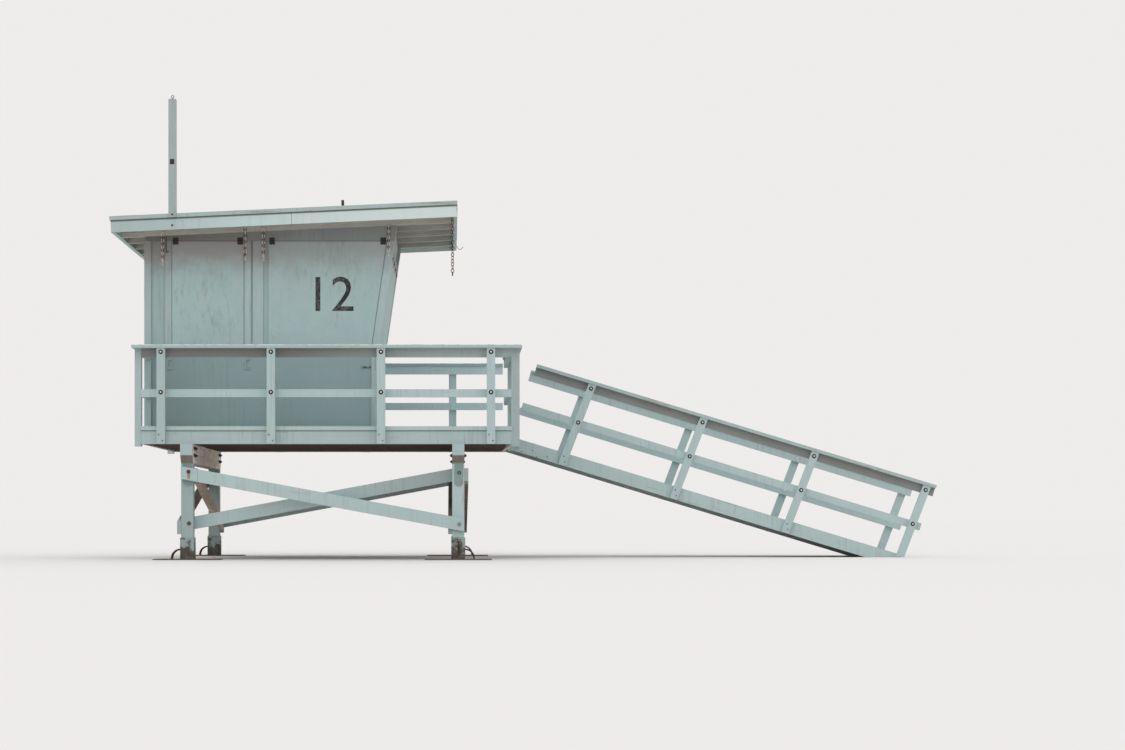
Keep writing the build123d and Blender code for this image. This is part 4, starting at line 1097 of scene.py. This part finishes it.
class TOWER_OT_leg_bolts(TowerOperator, bpy.types.Operator):
    """Add the bolts of the legs, braces and cap beams"""

    bl_idname = "tower.leg_bolts"
    bl_label = "Leg and Beam Bolts"

    def execute(self, context):
        brace_bolt = stacked(
            (0.025, 0.005, 16, 0.0015), (0.015, 0.012, 6, 0.002), (0.008, 0.016, 8, 0.002)
        )
        beam_bolt = stacked(
            (0.026, 0.005, 12, 0.0015), (0.017, 0.014, 6, 0.002), (0.009, 0.010, 8, 0.002)
        )
        middle_x = (leg_low.x + leg_high.x) / 2
        rear = [place for place in brace_bolt_places() if place.translation.x < middle_x]
        front = [place for place in brace_bolt_places() if place.translation.x > middle_x]
        repeated_piece("rear_brace_bolts", brace_bolt, rear, "rusty_steel")
        repeated_piece("front_brace_bolts", brace_bolt, front, "leg_plate")
        repeated_piece("beam_bolts", beam_bolt, beam_bolt_places(), "black_steel")

        def plate(bm):
            rim = [bm.verts.new((spot.x, spot.z, 0)) for spot in oblong(0.098, 0.055, 10)]
            face = bm.faces.new(rim)
            raised = bmesh.ops.extrude_face_region(bm, geom=[face], use_keep_orig=True)["geom"]
            corners = [item for item in raised if isinstance(item, bmesh.types.BMVert)]
            bmesh.ops.translate(bm, vec=UP * 0.005, verts=corners)

        plates = []
        for x in LEG_XS:
            plates += both_faces(x + LEG_PLATE_SHIFT, leg_high.y, LEG_PLATE_Z)
        repeated_piece("leg_plates", plate, plates, "leg_plate")
        return {"FINISHED"}


class TOWER_OT_chains(TowerOperator, bpy.types.Operator):
    """Hang the chains, hooks and eyes that hold the shutters open"""

    bl_idname = "tower.chains"
    bl_label = "Chains and Hooks"

    def execute(self, context):
        length = context.scene.tower_fastenings.link_length
        thickness = context.scene.tower_fastenings.link_wire
        reach = 0.030
        roof_slope = math.tan(roof_angle)

        def eye(bm):
            stacked((0.010, 0.003, 10, 0.001), (0.004, 0.015, 6, 0.0))(bm)
            wire(bm, arc((0, 0, 0.026), 0.010, 0, 330, 8), thickness, closed=True)

        def hook(bm):
            upper = arc((0, 0, -0.012), 0.011, 150, -60, 5)
            wire(bm, upper + arc((0.008, 0, -0.040), 0.014, 120, 330, 6), thickness)

        def link(bm):
            radius = length * 0.30
            wire(bm, oblong(length / 2 - radius - thickness / 2, radius, 4), thickness, closed=True)

        def hung(point, axis, drop):
            top = point + axis * reach + UP * thickness
            return chain_places(top, drop, length, thickness)

        leg_eye = (Vector((LEG_XS[1] + 0.006, -leg_high.y, 0.265)), NEAR, 0.215)
        shutter_eyes = [(Vector((x, -frieze_y, z)), NEAR, drop) for x, z, drop in SHUTTER_CHAINS]
        shutter_eyes += [(Vector((x, frieze_y, z)), FAR, drop) for x, z, drop in SHUTTER_CHAINS[2:]]
        links, hooks = [], []
        for shutter_eye in shutter_eyes:
            places = hung(*shutter_eye)
            links += places
            end = places[-1].translation + DOWN * (length / 2 - thickness)
            hooks.append(Matrix.Translation(end + UP * 0.003))
        eyes = [facing(point, axis) for point, axis, drop in (*shutter_eyes, leg_eye)]
        soffit = roof_low.z + (FRONT_CHAIN_X - roof_low.x) * roof_slope + 0.02
        top = Vector((FRONT_CHAIN_X, -1.70, soffit))
        front = chain_places(top, soffit - FRONT_CHAIN_END_Z, length, thickness)
        repeated_piece("chain_eyes", eye, eyes, "galvanised")
        repeated_piece("shutter_chains", link, links[0::2], "chain")
        repeated_piece("shutter_chains_worn", link, links[1::2], "rusty_steel")
        repeated_piece("chain_hooks", hook, hooks, "chain")
        repeated_piece("leg_chain", link, hung(*leg_eye), "rusty_steel")

        foot = STAY_TOP + DOWN * 0.19
        bend = [foot + spot for spot in arc((0.014, 0, 0), 0.014, 180, 380, 6)]
        stay = [STAY_TOP + FAR * 0.015 + UP * 0.006, STAY_TOP, foot, *bend]
        wire_piece("stay_hook", stay, 0.009, "black_steel")
        repeated_piece("front_chain", link, front, "rusty_steel")

        level = roof_low.z + (roof_high.x - roof_low.x) * roof_slope - 0.09
        corner = Vector((roof_high.x, EAVE_HOOK_Y, level))
        bent = [corner + Vector((x, 0, z)) for x, z in EAVE_HOOK_XZS]
        wire_piece("eave_hook", bent, 0.007, "black_steel")
        return {"FINISHED"}


class TOWER_OT_number(TowerOperator, bpy.types.Operator):
    """Paint the tower's number on the near front shutter"""

    bl_idname = "tower.number"
    bl_label = "Tower Number"

    def execute(self, context):
        look = context.scene.tower_fastenings
        text = bpy.data.curves.new("number", "FONT")
        text.body = look.number
        text.size = look.number_height * FONT_SIZE_OF_DIGIT
        text.align_x = "CENTER"
        text.align_y = "CENTER"
        text.resolution_u = 4
        text.extrude = PAINT_DEPTH
        bm = bmesh.new()
        add_curve(bm, text)
        place = Matrix.Translation((NUMBER_X, near_panel_y - PAINT_SHIFT, NUMBER_Z))
        stand = Matrix.Rotation(math.radians(90), 4, "X")
        bmesh.ops.transform(bm, matrix=place @ stand, verts=bm.verts)
        set_piece(bm, "painted_number", "stencil", "near_front_shutter")
        return {"FINISHED"}


class TOWER_OT_windows(TowerOperator, bpy.types.Operator):
    """Fit the sash frames behind the shutters and the boards of the door"""

    bl_idname = "tower.windows"
    bl_label = "Window and Door Frames"

    def execute(self, context):
        rail = context.scene.tower_fastenings.sash_rail
        low, high, top = SASH_LOW, SASH_HIGH, FRONT_SASH_HIGH
        lean = leaning(front_lean, low)
        blocks = []
        for side in (-1, 1):
            y0, y1 = sorted(side * (wall_y - inset) for inset in SASH_INSETS)
            sashes = [(SIDE_SASH_X, lean)]
            bars = [
                (x - SASH_BAR_HALF, low + rail, x + SASH_BAR_HALF, high - rail)
                for x in SIDE_SASH_BAR_XS
            ]
            if side < 0:
                sashes.append((REAR_SASH_X, None))
                bars.append(REAR_SASH_BAR)
            for (x0, x1), shear in sashes:
                inner, foot = x0 + rail, x1 - rail
                rise = (high - rail - low) * math.tan(front_lean) if shear else 0.0
                blocks += [
                    ((x0, y0, low), (inner, y1, high)),
                    ((foot, y0, low), (x1, y1, high), shear),
                    ((inner, y0, low), (foot, y1, low + rail)),
                    ((inner, y0, high - rail), (foot + rise, y1, high)),
                ]
            blocks += [((x0, y0 + 0.004, z0), (x1, y1 - 0.002, z1)) for x0, z0, x1, z1 in bars]
        x0, x1 = FRONT_SASH_X
        for middle in (-FRONT_SASH_MIDDLE, FRONT_SASH_MIDDLE):
            y0, y1 = middle - FRONT_SASH_HALF, middle + FRONT_SASH_HALF
            inner, outer = y0 + rail, y1 - rail
            blocks += [
                ((x0, y0, low), (x1, inner, top), lean),
                ((x0, outer, low), (x1, y1, top), lean),
                ((x0, inner, low), (x1, outer, low + rail), lean),
                ((x0, inner, top - rail), (x1, outer, top), lean),
            ]
        block_piece("sash_frames", blocks, 0.003, "upright")

        face = door_high.y
        sunk, proud, board, gap, margin = face - 0.001, face + 0.016, 0.110, 0.004, 0.006
        x0, x1, z0, z1 = door_low.x, door_high.x, door_low.z, door_high.z
        boards = ((z0 + margin, 0.190), (z0 + 0.900, 0.140), (z1 - board - margin, board))
        blocks = [
            ((x, sunk, z0 + margin), (x + board, proud, z1 - margin))
            for x in (x0 + gap, x1 - board - gap)
        ]
        blocks += [
            ((x0 + board + gap, sunk, z), (x1 - board - gap, proud, z + height))
            for z, height in boards
        ]
        block_piece("door_boards", blocks, 0.002, "upright")
        blocks = [
            ((x0 + 0.010, face + 0.014, z), (x0 + 0.330, face + 0.020, z + 0.040))
            for z in (z0 + 0.25, z0 + 1.05, z1 - 0.20)
        ]
        lock = ((x1 - 0.085, face + 0.014, z0 + 0.93), (x1 - 0.035, face + 0.018, z0 + 1.10))
        block_piece("door_straps", [*blocks, lock], 0.001, "black_steel")

        knob = stacked(
            (0.012, 0.030, 12, 0.0), (0.026, 0.014, 20, 0.005), (0.018, 0.008, 20, 0.004)
        )
        at = facing(Vector((x1 - 0.060, proud, z0 + 1.03)), FAR)
        repeated_piece("door_knob", knob, [at], "galvanised")
        return {"FINISHED"}


class TOWER_OT_fittings(TowerOperator, bpy.types.Operator):
    """Add the slide latch, the mast bolts and the tie at the ramp head"""

    bl_idname = "tower.fittings"
    bl_label = "Small Fittings"

    def execute(self, context):
        face = -wall_y
        (x0, x1), (bend_x, end_x) = LATCH_XS, LATCH_ROD_XS
        plate = ((x0, face - 0.003, LATCH_Z - 0.015), (x1, face + 0.001, LATCH_Z + 0.015))
        staples = [
            ((x, face - 0.020, LATCH_Z - 0.013), (x + 0.014, face - 0.002, LATCH_Z + 0.013))
            for x in LATCH_STAPLE_XS
        ]
        block_piece("slide_latch", [plate, *staples], 0.001, "painted_steel")
        rod = [
            Vector((x, face - out, LATCH_Z))
            for x, out in ((bend_x, 0.032), (bend_x, 0.012), (end_x, 0.012))
        ]
        wire_piece("latch_bolt", rod, 0.011, "black_steel")

        mast_bolt = stacked((0.013, 0.003, 12, 0.001), (0.008, 0.006, 6, 0.001))
        middle = (mast_low.x + mast_high.x) / 2
        spots = [facing(Vector((middle, mast_low.y, z)), NEAR) for z in MAST_BOLT_ZS]
        repeated_piece("mast_bolts", mast_bolt, spots, "black_steel")
        wire_piece("rim_tie", [Vector((x, TIE_Y, z)) for x, z in TIE_XZS], 0.016, "tan_tie")
        return {"FINISHED"}


class TOWER_OT_stage(TowerOperator, bpy.types.Operator):
    """Set the floor, the light and the camera"""

    bl_idname = "tower.stage"
    bl_label = "Stage and Camera"

    def execute(self, context):
        look = context.scene.tower_stage
        bm = bmesh.new()
        bmesh.ops.create_grid(bm, x_segments=1, y_segments=1, size=FLOOR_REACH)
        floor = placed("studio_floor", mesh_of(bm, "studio_floor"))
        floor.location.z = -FLOOR_DROP
        finish = Finish("studio floor")
        shown = finish.node("BsdfDiffuse", {}, {"Color": tuple(look.floor)})
        bounce = finish.node("BsdfDiffuse", {}, {"Color": tuple(look.floor_bounce)})
        finish.end("Material", finish.show(shown, bounce))
        floor.data.materials.append(finish.material)

        world = bpy.data.worlds.new("studio")
        context.scene.world = world
        sky = Nodes(world)
        height = sky.split(sky.node("TexCoord", output="Generated"), 2)
        levels = {"Value": height, "To Min": look.horizon_level, "To Max": look.zenith_level}
        glow = {"Color": SKY_TINT, "Strength": sky.node("MapRange", {}, levels)}
        backdrop = sky.node("Background", {}, {"Color": tuple(look.backdrop)})
        sky.end("World", sky.show(backdrop, sky.node("Background", {}, glow)))

        sun = bpy.data.lights.new("soft_top_light", "SUN")
        sun.energy = look.lamp_level
        sun.angle = LAMP_SPREAD
        lamp = placed("soft_top_light", sun)
        lamp.rotation_euler = LAMP_TILT

        lens = bpy.data.cameras.new("photo_camera")
        lens.lens = look.lens
        lens.shift_x = look.shift_x
        lens.shift_y = look.shift_y
        lens.clip_end = 1000.0
        camera = placed("photo_camera", lens)
        camera.location = look.camera_place
        camera.rotation_euler = (math.radians(90), 0, 0)
        context.scene.camera = camera
        context.scene.view_settings.view_transform = "Standard"
        return {"FINISHED"}


# Settings


def colour_value(label, about, colour):
    """A colour that a user may change."""
    return bpy.props.FloatVectorProperty(
        name=label, description=about, subtype="COLOR", size=3, default=colour
    )


def length_value(label, about, length, least, most):
    """A length that a user may change."""
    return bpy.props.FloatProperty(
        name=label, description=about, unit="LENGTH", default=length, min=least, max=most
    )


def plain_value(label, about, value, unit="NONE"):
    """A number that a user may change."""
    return bpy.props.FloatProperty(name=label, description=about, default=value, unit=unit)


class TimberSettings(bpy.types.PropertyGroup):
    """Colours of the paint, the bare timber, the dirt on it and painted shade and light."""

    paint: colour_value("Paint", "Sound paint on the boards", linear(168, 190, 192))
    panel_cool: colour_value(
        "Panel, Cool", "Bluer paint on the wall panels and shutters", linear(166, 184, 192)
    )
    panel_green: colour_value(
        "Panel, Green", "Greener paint on the wall panels and shutters", linear(162, 194, 190)
    )
    chalky: colour_value("Chalked Paint", "Faded, chalky paint", linear(178, 190, 188))
    bare_wood: colour_value("Bare Wood", "Timber where the paint has gone", linear(134, 128, 120))
    grime: colour_value("Grime", "Dirt that rain has left", linear(88, 88, 84))
    # Dark timber in chips and foot boxes; painted shade on faces that look down
    dark_timber_and_shade: colour_value("Shaded Timber", "Timber on undersides", linear(84, 76, 68))
    wall_grey: colour_value("Lower Wall", "Paint below the shutters", linear(120, 142, 146))
    # Grey laid over the walls just below the eaves
    lilac_grey: colour_value("Eave Dirt", "Grey film below the eaves", linear(146, 144, 146))
    # Painted shadow under the caps, with some brown-grey film in it
    cap_shadow_and_film: colour_value("Cap Film", "Brown-grey film under the caps", linear(112, 106, 104))
    rubbed: colour_value("Rubbed Paint", "Rubbed and sunlit edges", linear(214, 226, 226))
    # Painted light on the undersides of the rafters
    rafter_underside_light: colour_value(
        "Rafter Undersides", "Rubbed paint below the rafters", linear(196, 190, 174)
    )
    boot_film: colour_value("Boot Film", "Grey film on the foot boxes", linear(108, 110, 104))
    rust: colour_value("Rust", "Rust on fittings and below bolts", linear(150, 84, 40))
    stencil: colour_value("Stencil Paint", "Paint of the tower's number", linear(24, 26, 28))


class FasteningSettings(bpy.types.PropertyGroup):
    """Sizes of the bolts, chains, sashes and number."""

    washer_width: length_value("Washer", "Width of the posts' washers", 0.057, 0.03, 0.08)
    nut_width: length_value("Nut", "Width of the posts' nuts", 0.024, 0.01, 0.04)
    screw_width: length_value("Coach Screw", "Width of the posts' screws", 0.016, 0.008, 0.03)
    link_length: length_value("Chain Link", "Length of one chain link", 0.058, 0.03, 0.08)
    link_wire: length_value("Chain Wire", "Thickness of a link's wire", 0.009, 0.003, 0.012)
    sash_rail: length_value("Sash Rail", "Width of the window rails", 0.045, 0.02, 0.08)
    number: bpy.props.StringProperty(
        name="Number", description="Number painted on the near front shutter", default="12",
    )
    number_height: length_value("Number Height", "Height of the painted digits", 0.46, 0.1, 0.8)


class StageSettings(bpy.types.PropertyGroup):
    """Floor, light and camera."""

    floor: colour_value("Floor", "Floor as the camera sees it", (0.68, 0.67, 0.665))
    floor_bounce: colour_value("Floor Bounce", "Floor as it lights the tower", (0.66, 0.62, 0.57))
    backdrop: colour_value("Backdrop", "Background as the camera sees it", (0.86, 0.84, 0.83))
    horizon_level: plain_value("Horizon", "Light that comes from the horizon", 1.0)
    zenith_level: plain_value("Zenith", "Light that comes from straight above", 1.15)
    lamp_level: plain_value("Top Lamp", "Strength of the soft lamp above", 0.55)
    camera_place: bpy.props.FloatVectorProperty(
        name="Camera", description="Place of the camera", subtype="TRANSLATION", unit="LENGTH",
        size=3, default=(-1.105, -30.53, 0.51),
    )
    lens: plain_value("Lens", "Focal length on a 36 mm wide sensor", 73.9, "CAMERA")
    shift_x: plain_value("Shift Across", "Sideways shift of the picture", 0.098)
    shift_y: plain_value("Shift Up", "Upward shift of the picture", 0.128)


class TOWER_PT_looks(bpy.types.Panel):
    """Lists the tower's settings and the steps that dress it"""

    bl_label = "Lifeguard Tower"
    bl_idname = "TOWER_PT_looks"
    bl_space_type = "VIEW_3D"
    bl_region_type = "UI"
    bl_category = "Tower"

    def draw(self, context):
        for operator in OPERATORS:
            self.layout.operator(operator.bl_idname)
        for group in SETTINGS:
            values = getattr(context.scene, group)
            box = self.layout.box()
            for name in values.bl_rna.properties.keys():
                if name not in {"rna_type", "name"}:
                    box.prop(values, name)


SETTINGS = {
    "tower_timber": TimberSettings,
    "tower_fastenings": FasteningSettings,
    "tower_stage": StageSettings,
}
OPERATORS = (
    TOWER_OT_paint,
    TOWER_OT_post_bolts,
    TOWER_OT_leg_bolts,
    TOWER_OT_chains,
    TOWER_OT_number,
    TOWER_OT_windows,
    TOWER_OT_fittings,
    TOWER_OT_stage,
)
CLASSES = (*SETTINGS.values(), *OPERATORS, TOWER_PT_looks)


def register():
    for made in CLASSES:
        bpy.utils.register_class(made)
    for name, group in SETTINGS.items():
        setattr(bpy.types.Scene, name, bpy.props.PointerProperty(type=group))


def unregister():
    for name in SETTINGS:
        delattr(bpy.types.Scene, name)
    for made in reversed(CLASSES):
        bpy.utils.unregister_class(made)


def main():
    """Dress the tower step by step."""
    register()
    bpy.ops.tower.paint()
    bpy.ops.tower.post_bolts()
    bpy.ops.tower.leg_bolts()
    bpy.ops.tower.chains()
    bpy.ops.tower.number()
    bpy.ops.tower.windows()
    bpy.ops.tower.fittings()
    bpy.ops.tower.stage()


if __name__ == "__main__":
    main()
